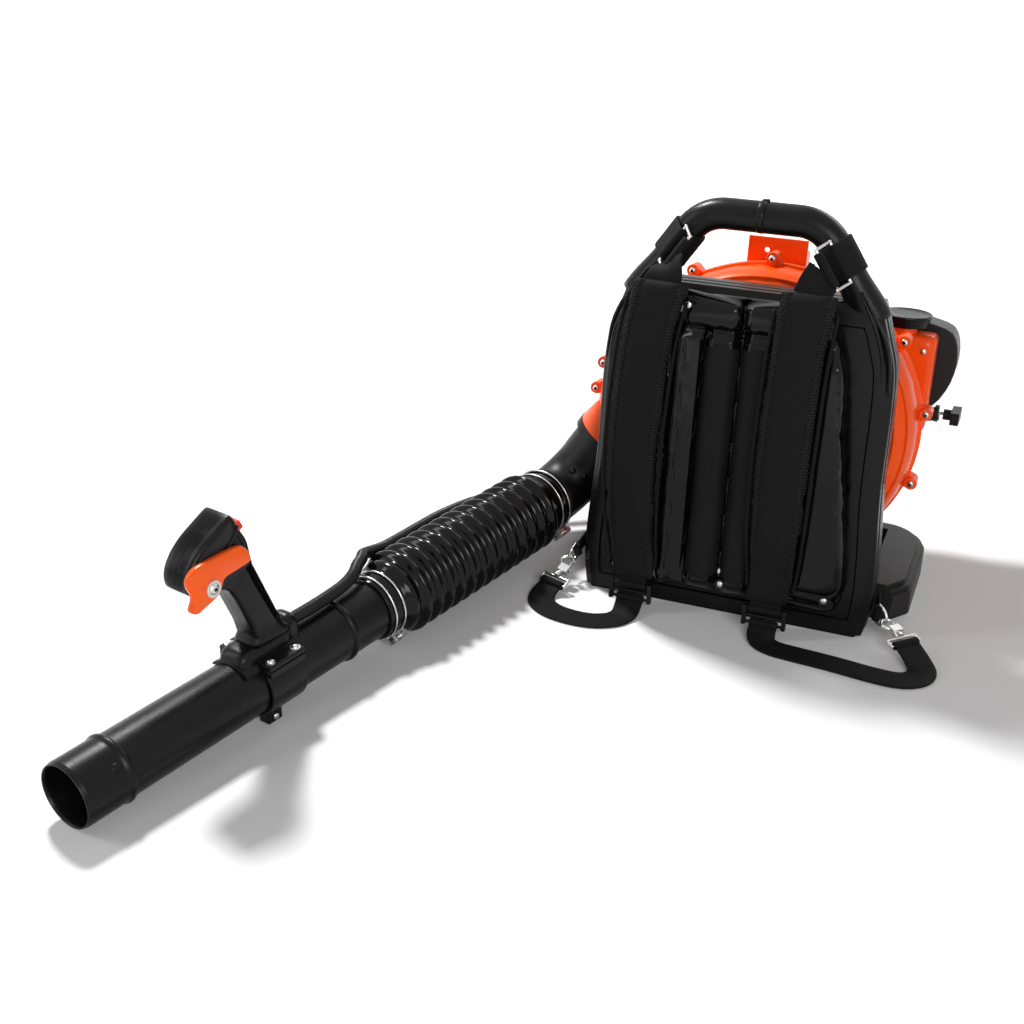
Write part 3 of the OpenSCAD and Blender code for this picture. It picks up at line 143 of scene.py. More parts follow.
finishes = {
    "orange_plastic": {"colour": (1.0, 0.098, 0.003), "dark": (0.96, 0.082, 0.002), "rough": (0.26, 0.36),
                       "specular": 0.2, "coat": 0.03, "grain": 700, "grainDepth": 0.08},
    "black_plastic": {"colour": grey(0.0050), "dark": grey(0.0030), "rough": (0.24, 0.36), "specular": 0.15,
                      "coat": 0.03, "grain": 1400, "grainDepth": 0.22},
    "grey_plastic": {"colour": grey(0.012), "dark": grey(0.008), "rough": (0.36, 0.48), "specular": 0.22,
                     "grain": 1300, "grainDepth": 0.4},
    "gloss_black": {"colour": grey(0.0025), "dark": grey(0.0015), "rough": (0.09, 0.17), "specular": 0.17,
                    "coat": 0.04, "grain": 300, "grainDepth": 0.05, "wave": 0.12},
    "black_rubber": {"colour": grey(0.0055), "dark": grey(0.003), "rough": (0.34, 0.46), "specular": 0.18,
                     "grain": 900, "grainDepth": 0.25},
    "pad_fabric": {"colour": grey(0.0075), "dark": grey(0.004), "rough": (0.55, 0.7), "specular": 0.10,
                   "grain": 1600, "grainDepth": 0.5},
    "webbing": {"colour": grey(0.0058), "dark": grey(0.0032), "rough": (0.6, 0.75), "specular": 0.10,
                "grain": 1500, "grainDepth": 0.6},
    "zinc_steel": {"colour": grey(0.62), "dark": grey(0.45), "rough": (0.2, 0.36), "metal": 1, "grain": 600,
                   "grainDepth": 0.1},
    "cast_aluminium": {"colour": grey(0.5), "dark": grey(0.38), "rough": (0.38, 0.55), "metal": 1,
                       "grain": 500, "grainDepth": 0.6},
    "lever_orange": {"colour": (1.0, 0.115, 0.002), "dark": (0.97, 0.10, 0.002), "rough": (0.16, 0.26),
                     "specular": 0.22, "coat": 0.05, "grain": 400, "grainDepth": 0.05},
    "button_red": {"colour": (0.85, 0.045, 0.008), "dark": (0.74, 0.030, 0.006), "rough": (0.25, 0.35),
                   "specular": 0.3, "grain": 500, "grainDepth": 0.05},
    "thread": {"colour": grey(0.020), "dark": grey(0.010), "rough": (0.5, 0.65), "specular": 0.2,
               "grain": 1500, "grainDepth": 0.4},
    "rope_white": {"colour": grey(0.6), "dark": grey(0.45), "rough": (0.7, 0.8), "grain": 1200,
                   "grainDepth": 0.8},
    "filter_foam": {"colour": grey(0.03), "dark": grey(0.015), "rough": (0.85, 0.95), "grain": 700,
                    "grainDepth": 1.0},
}
materials = {slotName: surface(slotName + "_surface", look) for slotName, look in finishes.items()}
print("materials:", len(materials))

slotOf = {s["node"]: s["material_slot"] for s in frame["record"]["subparts"]}
for nodeName, node in nodes.items():
    node.data.materials.clear()
    node.data.materials.append(materials[slotOf[nodeName]])


# mesh helpers
def smoothStep(a, b, v):
    t = min(max((v - a) / (b - a), 0), 1)
    return t * t * (3 - 2 * t)


def curveThrough(points, steps):
    points = [Vector(p) for p in points]
    last = len(points) - 1
    out = []
    for i in range(last):
        a, b, c, d = points[max(i - 1, 0)], points[i], points[i + 1], points[min(i + 2, last)]
        for k in range(steps):
            t = k / steps
            out.append(0.5 * (2 * b + (c - a) * t + (2 * a - 5 * b + 4 * c - d) * t * t
                              + (3 * b - a - 3 * c + d) * t * t * t))
    out.append(points[last])
    return out


def evenly(path, gap):  # the same path with points a fixed distance apart
    total = sum((b - a).length for a, b in zip(path, path[1:]))
    count = max(int(round(total / gap)), 2)
    out, walked, i = [], 0.0, 0
    for k in range(count + 1):
        want = total * k / count
        while i < len(path) - 2 and walked + (path[i + 1] - path[i]).length < want:
            walked += (path[i + 1] - path[i]).length
            i += 1
        step = (path[i + 1] - path[i]).length
        out.append(path[i].lerp(path[i + 1], (want - walked) / step if step else 0))
    return out


def turns(count):  # count angles round a full circle
    return [2 * math.pi * k / count for k in range(count)]


def bent(v, power):  # a cosine or sine pushed towards a rounded box
    return math.copysign(abs(v) ** power, v)


def heading(path, i):
    return (path[min(i + 1, len(path) - 1)] - path[max(i - 1, 0)]).normalized()


def loftFaces(rows, columns, closed=True, capped=True):
    faces = []
    span = columns if closed else columns - 1
    for i in range(rows - 1):
        for j in range(span):
            k = (j + 1) % columns
            faces.append((i * columns + j, i * columns + k, (i + 1) * columns + k, (i + 1) * columns + j))
    if capped:
        faces.append(tuple(range(columns))[::-1])
        faces.append(tuple((rows - 1) * columns + j for j in range(columns)))
    return faces


def added(name, data):  # a new object in the scene
    obj = bpy.data.objects.new(name, data)
    bpy.context.scene.collection.objects.link(obj)
    return obj


def makePiece(name, verts, faces, slotName, sharp=None):
    mesh = bpy.data.meshes.new(name)
    mesh.from_pydata([tuple(v) for v in verts], [], faces)
    obj = added(name, mesh)
    mesh.materials.append(materials[slotName])
    tidyMesh(obj, sharp)
    return obj


def tidyMesh(obj, sharp=None):  # doubles merged, faces outwards, smooth apart from edges over sharp degrees
    bm = bmesh.new()
    bm.from_mesh(obj.data)
    bmesh.ops.remove_doubles(bm, verts=bm.verts, dist=2e-6)
    bmesh.ops.recalc_face_normals(bm, faces=bm.faces)
    for face in bm.faces:
        face.smooth = True
    if sharp:
        for edge in bm.edges:
            if len(edge.link_faces) == 2 and edge.calc_face_angle(0) > math.radians(sharp):
                edge.smooth = False
    bm.to_mesh(obj.data)
    bm.free()


def baked(obj):  # modifiers turned into plain mesh
    mesh = bpy.data.meshes.new_from_object(obj.evaluated_get(bpy.context.evaluated_depsgraph_get()))
    obj.modifiers.clear()
    obj.data = mesh
    return obj


def loft(name, rings, slotName, sharp=None, capped=True):
    return makePiece(name, [v for ring in rings for v in ring], loftFaces(len(rings), len(rings[0]), True,
            capped), slotName, sharp)


def across(path, i, up=Vector((0, 0, 1))):
    t = heading(path, i)
    side = t.cross(up)
    if side.length < 1e-4:
        side = t.cross(Vector((0, 1, 0)))
    side.normalize()
    return side, side.cross(t).normalized()


def sweep(name, path, radii, sides, slotName, up=Vector((0, 0, 1)), sharp=None):
    rings = []
    for i, centre in enumerate(path):
        r = radii[i] if isinstance(radii, list) else radii
        s, u = across(path, i, up)
        rings.append([centre + r * (math.cos(2 * math.pi * j / sides) * s
                                    + math.sin(2 * math.pi * j / sides) * u) for j in range(sides)])
    return loft(name, rings, slotName, sharp)


def lathe(name, profile, place, slotName, segments=96, sharp=40):  # profile: closed loop of (radius, along)
    rings = []
    for k in range(segments):
        a = 2 * math.pi * k / segments
        rings.append([place(r * math.cos(a), r * math.sin(a), z) for r, z in profile])
    n = len(profile)
    verts = [v for ring in rings for v in ring]
    faces = []
    for k in range(segments):
        m = (k + 1) % segments
        for j in range(n):
            q = (j + 1) % n
            faces.append((k * n + j, k * n + q, m * n + q, m * n + j))
    return makePiece(name, verts, faces, slotName, sharp)


def softEdges(obj, width, angle=35, segments=2):
    bevel = obj.modifiers.new("edges", "BEVEL")
    bevel.width = width
    bevel.segments = segments
    bevel.limit_method = "ANGLE"
    bevel.angle_limit = math.radians(angle)
    evenShade = obj.modifiers.new("shade", "WEIGHTED_NORMAL")
    evenShade.keep_sharp = True
    return baked(obj)


def copyOfNode(nodeName, pieceName, slotName, sharp=35):  # a merged copy of a CAD solid, ready for finer work
    obj = added(pieceName, nodes[nodeName].data.copy())
    obj.data.transform(nodes[nodeName].matrix_world)
    obj.data.materials.clear()
    obj.data.materials.append(materials[slotName])
    tidyMesh(obj, sharp)
    return obj


def turnTo(normal, along):  # Euler turn whose z is normal and x near along
    z = normal.normalized()
    y = z.cross(along).normalized()
    x = y.cross(z)
    return Matrix((x, y, z)).transposed().to_euler()


def scatterTree(name, kind):  # one small solid set on every point, turned by the point's own turn
    tree = bpy.data.node_groups.new(name, "GeometryNodeTree")
    face = tree.interface
    face.new_socket("Points", in_out="INPUT", socket_type="NodeSocketGeometry")
    for socket, value in (("Radius", 0.004), ("Depth", 0.003)):
        face.new_socket(socket, in_out="INPUT", socket_type="NodeSocketFloat").default_value = value
    face.new_socket("Stretch", in_out="INPUT", socket_type="NodeSocketVector").default_value = (1, 1, 1)
    face.new_socket("Finish", in_out="INPUT", socket_type="NodeSocketMaterial")
    face.new_socket("Solids", in_out="OUTPUT", socket_type="NodeSocketGeometry")
    enter, leave = tree.nodes.new("NodeGroupInput"), tree.nodes.new("NodeGroupOutput")
    if kind == "bead":
        solid = tree.nodes.new("GeometryNodeMeshUVSphere")
        solid.inputs["Segments"].default_value = 10
        solid.inputs["Rings"].default_value = 6
    else:
        solid = tree.nodes.new("GeometryNodeMeshCylinder")
        solid.inputs["Vertices"].default_value = 6 if kind == "hex" else 28
        tree.links.new(enter.outputs["Depth"], solid.inputs["Depth"])
    tree.links.new(enter.outputs["Radius"], solid.inputs["Radius"])
    smoothIt = tree.nodes.new("GeometryNodeSetShadeSmooth")
    smoothIt.inputs["Shade Smooth"].default_value = kind == "bead"
    tree.links.new(solid.outputs["Mesh"], smoothIt.inputs["Geometry"])
    turn = tree.nodes.new("GeometryNodeInputNamedAttribute")
    turn.data_type = "FLOAT_VECTOR"
    turn.inputs["Name"].default_value = "turn"
    toTurn = tree.nodes.new("FunctionNodeEulerToRotation")
    tree.links.new(turn.outputs["Attribute"], toTurn.inputs["Euler"])
    put = tree.nodes.new("GeometryNodeInstanceOnPoints")
    tree.links.new(enter.outputs["Points"], put.inputs["Points"])
    tree.links.new(smoothIt.outputs["Geometry"], put.inputs["Instance"])
    tree.links.new(toTurn.outputs["Rotation"], put.inputs["Rotation"])
    tree.links.new(enter.outputs["Stretch"], put.inputs["Scale"])
    real = tree.nodes.new("GeometryNodeRealizeInstances")
    tree.links.new(put.outputs["Instances"], real.inputs["Geometry"])
    paint = tree.nodes.new("GeometryNodeSetMaterial")
    tree.links.new(real.outputs["Geometry"], paint.inputs["Geometry"])
    tree.links.new(enter.outputs["Finish"], paint.inputs["Material"])
    tree.links.new(paint.outputs["Geometry"], leave.inputs["Solids"])
    return tree


scatterTrees = {kind: scatterTree(kind + "Scatter", kind) for kind in ("bead", "disc", "hex")}


# spots: (point, normal, along)
def scatter(name, kind, spots, slotName, radius, depth=0.003, stretch=(1, 1, 1)):
    mesh = bpy.data.meshes.new(name)
    mesh.from_pydata([tuple(s[0]) for s in spots], [], [])
    turn = mesh.attributes.new("turn", "FLOAT_VECTOR", "POINT")
    for i, (point, normal, along) in enumerate(spots):
        turn.data[i].vector = turnTo(normal, along)
    obj = added(name, mesh)
    tree = scatterTrees[kind]
    modifier = obj.modifiers.new("scatter", "NODES")
    modifier.node_group = tree
    values = {"Radius": radius, "Depth": depth, "Stretch": stretch, "Finish": materials[slotName]}
    for item in tree.interface.items_tree:
        if item.in_out == "INPUT" and item.name in values:
            modifier[item.identifier] = values[item.name]
    baked(obj)
    if "turn" in obj.data.attributes:
        obj.data.attributes.remove(obj.data.attributes["turn"])
    return obj


def inflate(obj, voxel, cap, pressure, clampTo):  # even mesh, cloth under pressure, no point further than cap
    remesh = obj.modifiers.new("even", "REMESH")
    remesh.mode = "VOXEL"
    remesh.voxel_size = voxel
    baked(obj)
    rest = [v.co.copy() for v in obj.data.vertices]
    cloth = obj.modifiers.new("fill", "CLOTH")
    cloth.settings.use_pressure = True
    cloth.settings.uniform_pressure_force = pressure
    cloth.settings.effector_weights.gravity = 0
    cloth.settings.quality = 4
    for step in range(1, 21):
        bpy.context.scene.frame_set(step)
    puffed = obj.evaluated_get(bpy.context.evaluated_depsgraph_get()).to_mesh()
    moved = [v.co.copy() for v in puffed.vertices]
    obj.evaluated_get(bpy.context.evaluated_depsgraph_get()).to_mesh_clear()
    obj.modifiers.clear()
    bpy.context.scene.frame_set(1)
    drift = sum((b - a for a, b in zip(rest, moved)), Vector()) / len(rest)
    for vert, a, b in zip(obj.data.vertices, rest, moved):
        shift = b - a - drift
        if shift.length > cap:
            shift = shift * (cap / shift.length)
        vert.co = clampTo(a + shift, a)
    smoothing = obj.modifiers.new("even", "SMOOTH")
    smoothing.factor = 0.5
    smoothing.iterations = 2
    finer = obj.modifiers.new("finer", "SUBSURF")
    finer.levels = finer.render_levels = 1
    baked(obj)
    for polygon in obj.data.polygons:
        polygon.use_smooth = True
    return obj


def unlean(p):  # the leaning frame's own x, d, z of a point
    y = p[1] + stance["reach"]
    return Vector((p[0], y * leanCos - p[2] * leanSin, p[2] * leanCos + y * leanSin))


# carrying frame: shell with grooved sides, tubular handle
shell = {
    "side": [(0.173, -0.010), (0.180, 0.040), (0.179, 0.095), (0.173, 0.180),  # half width by height
             (0.172, 0.274), (0.169, 0.324), (0.160, 0.356), (0.146, 0.398)],
    "innerFrom": 0.011, "crown": (0.9, 0.6, 0.2),
}
shellRows = [  # depth and inset, from the front's inner ledge round the grooved side to the hollow back
    (0.0035, 0.030), (0.0035, 0.0235), (0.0005, 0.0215), (0.0005, 0.0105), (0.0015, 0.0085), (0.0055, 0.0062),
    (0.007, 0.0024),
    (0.0085, 0.0011), (0.0175, 0.0009), (0.0190, 0.0022), (0.0200, 0.0052), (0.0220, 0.0056), (0.0230, 0.0018),
    (0.0245, 0.0004), (0.0335, 0.0002), (0.0350, 0.0014), (0.0360, 0.0052), (0.0380, 0.0056), (0.0390, 0.0022),
    (0.0405, 0.0012), (0.0560, 0.0013), (0.0578, 0.0030), (0.0580, 0.0060), (0.0580, 0.0120), (0.0560, 0.0140),
    (0.0260, 0.0160), (0.0240, 0.0180)
]


def shellOutline(inset, d):
    side = [Vector((x, 0, z)) for x, z in shell["side"]]
    side = curveThrough(side, 5)
    floorZ = 0.0004 + d * leanSin / leanCos
    edge = []
    for i, p in enumerate(side):
        t = heading(side, i)
        edge.append((p.x - inset * t.z, p.z + inset * t.x))
    low = max(floorZ, inset * 0.9) if inset > shell["innerFrom"] else floorZ
    top = edge[-1][1] - max(inset - 0.002, 0) * 0.9
    edge = [(x, min(max(z, low), top)) for x, z in edge]
    crown = [(edge[-1][0] * f, top) for f in shell["crown"]]
    half = edge + crown
    return half + [(-x, z) for x, z in half[::-1]]


rings = []
for d, inset in shellRows:
    rings.append([leaning(x, d, z) for x, z in shellOutline(inset, d)])
backShell = loft("backShell", rings, "black_plastic", sharp=50)

bar = {"half": 0.042, "top": 0.479, "bend": 0.050, "dip": 56, "legTop": (0.08345, 0.45696), "legLen": 0.098,
       "depth": 0.022, "radius": 0.018}
dip = math.radians(bar["dip"])
halfBar = [(bar["legTop"][0] + s * math.cos(dip), bar["legTop"][1] - s * math.sin(dip))
           for s in (bar["legLen"], 0.084, 0.056, 0.028, 0.0)]
halfBar += [
    (bar["half"] + bar["bend"] * math.cos(a), bar["top"] - bar["bend"] + bar["bend"] * math.sin(a))
    for a in [math.radians(90 - bar["dip"] + bar["dip"] * k / 8) for k in range(1, 9)]
]
fullBar = halfBar + [(0.02, bar["top"]), (0.0, bar["top"]), (-0.02, bar["top"])] + [(-x, z)
        for x, z in halfBar[::-1]]
barPath = evenly(curveThrough([leaning(x, bar["depth"], z) for x, z in fullBar], 3), 0.006)
barRadii = []
for p in barPath:
    low = unlean(p).z
    flare = 1 - smoothStep(0.385, 0.425, low)
    barRadii.append(bar["radius"] + 0.0035 * flare)
handleTube = sweep("handleTube", barPath, barRadii, 40, "black_plastic", up=leanDir(0, 1, 0))
ridges = []
for side, name in leftRight:  # the raised runs from the handle's legs into the shoulders
    for k, offset in enumerate((0.0105, 0.0235)):
        run = [(0.118 + offset * 0.2, 0.412), (0.128 + offset * 0.35, 0.392), (0.1395 + offset * 0.55, 0.366),
               (0.1475 + offset * 0.62, 0.338), (0.1515 + offset * 0.62, 0.30)]
        path = evenly(curveThrough([leaning(side * x, 0.0018, z) for x, z in run], 5), 0.004)
        width = [0.0026 * (0.35 + 0.65 * math.sin(math.pi * min(max(i / (len(path) - 1), 0.03), 0.97)))
                 for i in range(len(path))]
        ridges.append(sweep("shoulderRidge" + name + str(k), path, width, 12, "black_plastic"))
nub = sweep("handleNub", [leaning(x, bar["depth"] - 0.002, bar["top"] + 0.0006)
                          for x in (-0.0040, -0.0034, -0.0026, 0, 0.0026, 0.0034, 0.0040)],
            [0.0176, 0.0184, 0.0187, 0.0188, 0.0187, 0.0184, 0.0176], 40, "black_plastic", up=leanDir(0, 1, 0))
nubPin = scatter("handleNubPin", "disc", [(leaning(0.002, bar["depth"], bar["top"] + 0.0192), leanDir(0, 0, 1),
                                           Vector((1, 0, 0)))], "black_plastic", 0.0042, 0.0024)
ribsBehind = []
for x in (-0.084, 0.0, 0.084):
    rib = [leaning(x + dx, d, z) for z in (0.050, 0.352) for dx, d in ((-0.005, 0.022), (-0.005, 0.049),
            (0.005, 0.049), (0.005, 0.022))]
    ribsBehind.append(softEdges(loft("frameRib" + str(int(x * 1000)).replace("-", "m"), [rib[:4], rib[4:]],
                                     "black_plastic", sharp=30), 0.0012))
for piece in [backShell, handleTube, nub, nubPin] + ridges + ribsBehind:
    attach(piece, "backpack")
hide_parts("frame_upright")
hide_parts("frame_upright")
print("frame: shell, handle, ribs")

# back pad
padSizes = {"thick": 0.027, "foot": 0.020, "top": 0.400, "fold": 0.354, "voxel": 0.004, "cap": 0.006,
            "pressure": 4.0}
padKnots = [(0.131, 0.021), (0.146, 0.034), (0.153, 0.060), (0.150, 0.120), (0.142, 0.210), (0.126, 0.330),
            (0.110, 0.374), (0.102, 0.392), (0.100, 0.399)]


def dipAt(v, at, half):
    return 1 - smoothStep(0, half, abs(v - at))


def padHeight(x, z, w):
    x = abs(x)
    low = smoothStep(0.350, 0.360, z)
    ribs = 0.50 + 0.42 * (smoothStep(0.003, 0.009, x) - smoothStep(0.033, 0.043, x)) * smoothStep(0.030, 0.048,
            z)
    ribs += 0.24 * (smoothStep(0.060, 0.067, x) - smoothStep(0.075, 0.082, x))
    ribs += 0.42 * smoothStep(0.080, 0.090, x) * smoothStep(0.046, 0.062, z) * (1 - smoothStep(0.330, 0.348, z))
    roll = 0.95 - 0.3 * dipAt(x, 0, 0.009)
    rise = min(smoothStep(-0.006, 0.016, z - padSizes["foot"]), smoothStep(-0.005, 0.014, padSizes["top"] - z))
    height = ((1 - low) * ribs + low * roll) * (1 - 0.45 * dipAt(z, padSizes["fold"], 0.009))
    return padSizes["thick"] * max(height * rise * smoothStep(-0.004, 0.014, w - x), 0.06)


rings = []
for knot in curveThrough([(w, 0, z) for w, z in padKnots], 9):
    w, z = knot.x, knot.z
    xs = [w * math.sin(math.pi / 2 * k / 34) if k > 26 else w * math.sin(math.pi / 2 * 26 / 34) * k / 26
          for k in range(35)]
    xs = [-x for x in xs[:0:-1]] + xs
    rings.append([leaning(x, -padHeight(x, z, w), z) for x in xs]
                 + [leaning(w, -0.0004, z), leaning(-w, -0.0004, z)])
backCushion = loft("backCushion", rings, "gloss_black")


def padClamp(p, was):
    q = unlean(p)
    return leaning(q.x, min(q.y, -0.0003), q.z)


inflate(backCushion, padSizes["voxel"], padSizes["cap"], padSizes["pressure"], padClamp)
creases = [  # x, half width, depth, from z, to z
    (0.0, 0.0022, 0.0045, 0.036, 0.392), (0.0495, 0.0016, 0.0028, 0.050, 0.345),
    (0.0655, 0.0014, 0.0022, 0.044, 0.345), (0.0860, 0.0022, 0.0040, 0.050, 0.345),
]
# sewn channels, the fold over the top roll and small puckers beside them
for vert in backCushion.data.vertices:
    q = unlean(vert.co)
    if q.y > -0.004:
        continue
    sink = 0
    for at, half, deep, low, high in creases:
        along = smoothStep(low, low + 0.012, q.z) * (1 - smoothStep(high - 0.012, high, q.z))
        sink += deep * along * max(1 - (abs(abs(q.x) - at) / half) ** 2, 0) ** 1.5
    sink += 0.0035 * max(1 - ((q.z - 0.3545) / 0.0022) ** 2, 0) * (1 - smoothStep(0.09, 0.10, abs(q.x)))
    pucker = 0.0005 * math.sin(q.z * 520 + 3 * math.sin(q.x * 90)) * (dipAt(abs(q.x), 0.0, 0.012)
            + dipAt(abs(q.x), 0.086, 0.014))
    pucker += 0.0007 * math.sin(q.x * 260 + q.z * 40) * dipAt(q.z, padSizes["fold"], 0.014)
    vert.co = leaning(q.x, min(q.y + sink + pucker, -0.001), q.z)
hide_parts("back_pad")
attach(backCushion, "backpack")

print("back cushion")


def bvhOf(*objs):
    bm = bmesh.new()
    for obj in objs:
        bm.from_mesh(obj.data)
    tree = BVHTree.FromBMesh(bm)
    bm.free()
    return tree


def onSurface(tree, x, z, start=-0.12):  # the first surface met from the wearer's side
    hit = tree.ray_cast(leaning(x, start, z), leanDir(0, 1, 0))
    return hit[0]


# rows: (x, z, width); follows the surface under it
def laidStrip(name, tree, rows, slotName, thick, columns=9, lift=0.0003):
    top, bottom = [], []
    for x, z, width in rows:
        line = []
        for j in range(columns):
            u = x + width * (j / (columns - 1) - 0.5)
            line.append(onSurface(tree, u, z) or tree.find_nearest(leaning(u, -0.05, z))[0])
        away = leanDir(0, -1, 0)
        edge = [1.0] * columns
        edge[0] = edge[-1] = 0.25
        top.append([p + away * (lift + thick * e) for p, e in zip(line, edge)])
        bottom.append([p - away * 0.0012 for p in line])
    ringsHere = [a + b[::-1] for a, b in zip(top, bottom)]
    return loft(name, ringsHere, slotName, sharp=60)


cushionTree = bvhOf(backCushion)
# matt strips in the inner channels
channel = {"x": 0.0215, "foot": 0.052, "top": 0.340, "half": 0.0175, "rows": 60}
for side, name in leftRight:
    rows = []
    for k in range(channel["rows"] + 1):
        z = channel["foot"] + (channel["top"] - channel["foot"]) * k / channel["rows"]
        taper = min(smoothStep(-0.004, 0.008, z - channel["foot"]),
                    smoothStep(-0.004, 0.006, channel["top"] - z))
        rows.append((side * channel["x"], z, 2 * (channel["half"] * taper + 0.002)))
    strip = laidStrip("channelStrip" + name, cushionTree, rows, "pad_fabric", 0.0006)
    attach(strip, "backpack")
rivetSpots = [(-0.071, 0.376), (0.071, 0.376), (-0.064, 0.381), (0.0, 0.060), (0.148, 0.038), (-0.148, 0.038),
              (0.128, 0.050), (0.004, 0.046)]
spots = []
for x, z in rivetSpots:
    hit = onSurface(cushionTree, x, z)
    if hit is not None:
        spots.append((hit + leanDir(0, -0.0006, 0), leanDir(0, -1, 0), Vector((1, 0, 0))))
rivetDomes = scatter("rivetDomes", "bead", spots, "zinc_steel", 0.0046, stretch=(1, 1, 0.55))
rivetRings = scatter("rivetRings", "disc", spots, "gloss_black", 0.0066, 0.0016)
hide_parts("pad_rivets")
for piece in (rivetDomes, rivetRings):
    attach(piece, "backpack")

# shoulder pads: puffed pads, webbing down the middle, stitched bands, piped edges
strapLift = 0.0425
shoulder = {"thick": 0.0095, "voxel": 0.0045, "cap": 0.0035, "pressure": 3.5, "tape": 0.036,
            "tapeThick": 0.0011, "band": 0.0095, "piping": 0.0022}
strapRoutes = {
    "Left": [(-0.094, -strapLift + 0.005, 0.410, 0.072), (-0.099, -strapLift, 0.380, 0.072),
             (-0.107, -strapLift - 0.002, 0.320, 0.072),
             (-0.112, -strapLift - 0.003, 0.215, 0.072), (-0.109, -strapLift - 0.002, 0.125, 0.068),
             (-0.103, -strapLift + 0.002, 0.070, 0.061), (-0.102, -strapLift + 0.003, 0.040, 0.057)],
    "Right": [(0.074, -strapLift + 0.005, 0.416, 0.072), (0.071, -strapLift, 0.384, 0.072),
              (0.067, -strapLift - 0.002, 0.320, 0.072),
              (0.065, -strapLift - 0.003, 0.215, 0.072), (0.066, -strapLift - 0.002, 0.125, 0.068),
              (0.067, -strapLift + 0.002, 0.070, 0.059), (0.064, -strapLift + 0.003, 0.040, 0.053)],
}


def buildShoulderPad(side, route):
    path = curveThrough([(x, d, z) for x, d, z, w in route], 8)
    wide = curveThrough([(w, 0, 0) for x, d, z, w in route], 8)
    ringsHere = []
    for i, (p, w) in enumerate(zip(path, wide)):
        ease = min(smoothStep(-2, 3, i), smoothStep(-2, 3, len(path) - 1 - i))
        half = w.x / 2 - 0.001
        ringsHere.append([
            leaning(p.x + half * bent(math.cos(a), 0.45),
                    p.y + shoulder["thick"] / 2 * ease * bent(math.sin(a), 0.8), p.z)
            for a in turns(36)
        ])
    pad = loft("shoulderPad" + side, ringsHere, "pad_fabric")
    inflate(pad, shoulder["voxel"], shoulder["cap"], shoulder["pressure"], lambda p, was: p)
    centres = [(p.x, p.z, w.x) for p, w in zip(path, wide)]

    def centreAt(z):
        for (x0, z0, w0), (x1, z1, w1) in zip(centres, centres[1:]):
            if z0 >= z >= z1:
                f = (z0 - z) / (z0 - z1)
                return x0 + (x1 - x0) * f, w0 + (w1 - w0) * f
        return (centres[0][0], centres[0][2]) if z > centres[0][1] else (centres[-1][0], centres[-1][2])

    for vert in pad.data.vertices:  # quilted seams either side of the webbing
        q = unlean(vert.co)
        x, w = centreAt(q.z)
        off = abs(q.x - x)
        deep = 0.0016 * max(1 - ((off - 0.0205) / 0.0022) ** 2,
                            0) + 0.0012 * max(1 - ((off - w / 2 + 0.0055) / 0.0018) ** 2, 0)
        towards = 1 if q.y < (-strapLift - 0.001) else -1
        vert.co = leaning(q.x, q.y + towards * deep, q.z)
    tree = bvhOf(pad)
    top, bottom = route[0][2] - 0.004, route[-1][2] + 0.002
    steps = [top + (bottom - top) * k / 90 for k in range(91)]
    pieces = [pad]
    pieces.append(laidStrip("shoulderTape" + side, tree, [(centreAt(z)[0], z, shoulder["tape"])
            for z in steps], "webbing", shoulder["tapeThick"], 9))
    for k, sign in enumerate((-1, 1)):
        rows = [(centreAt(z)[0] + sign * 0.0265, z, shoulder["band"]) for z in steps[3:-12]]
        pieces.append(laidStrip("stitchBand" + side + str(k), tree, rows, "webbing", 0.0007, 5))
        spots = []
        z, row = top - 0.010, 0
        while z > bottom + 0.030:
            x = centreAt(z)[0] + sign * 0.0265
            for j in range(3):
                u = x + (j - 1) * 0.0031 + (0.0008 if row % 2 else -0.0008)
                hit = onSurface(tree, u, z)
                if hit is not None:
                    slant = leanDir(1, 0, 0.7 if (row + j) % 2 else -0.7)
                    spots.append((hit + leanDir(0, -0.0010, 0), leanDir(0, -1, 0), slant))
            z -= 0.0036
            row += 1
        pieces.append(scatter("stitches" + side + str(k), "bead", spots, "thread", 0.0012,
                              stretch=(1.35, 0.5, 0.45)))
    for k, sign in enumerate((-1, 1)):
        edge = evenly([leaning(centreAt(z)[0] + sign * (centreAt(z)[1] / 2 - 0.0014),
                               next(p.y for p in path if p.z <= z + 1e-9) if z >= path[-1].z else path[-1].y,
                               z) for z in steps[5:-4]], 0.005)
        pieces.append(sweep("shoulderPiping" + side + str(k), edge, shoulder["piping"], 10, "webbing"))
    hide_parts("strap_pad_" + side.lower())
    for piece in pieces:
        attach(piece, "backpack")


for side, route in strapRoutes.items():
    buildShoulderPad(side, route)
print("shoulder pads")


# webbing: loops on the handle's legs, lower straps, anchor tabs
webbing = {"wide": 0.042, "thick": 0.003, "low": 0.0336, "ringWire": 0.004}


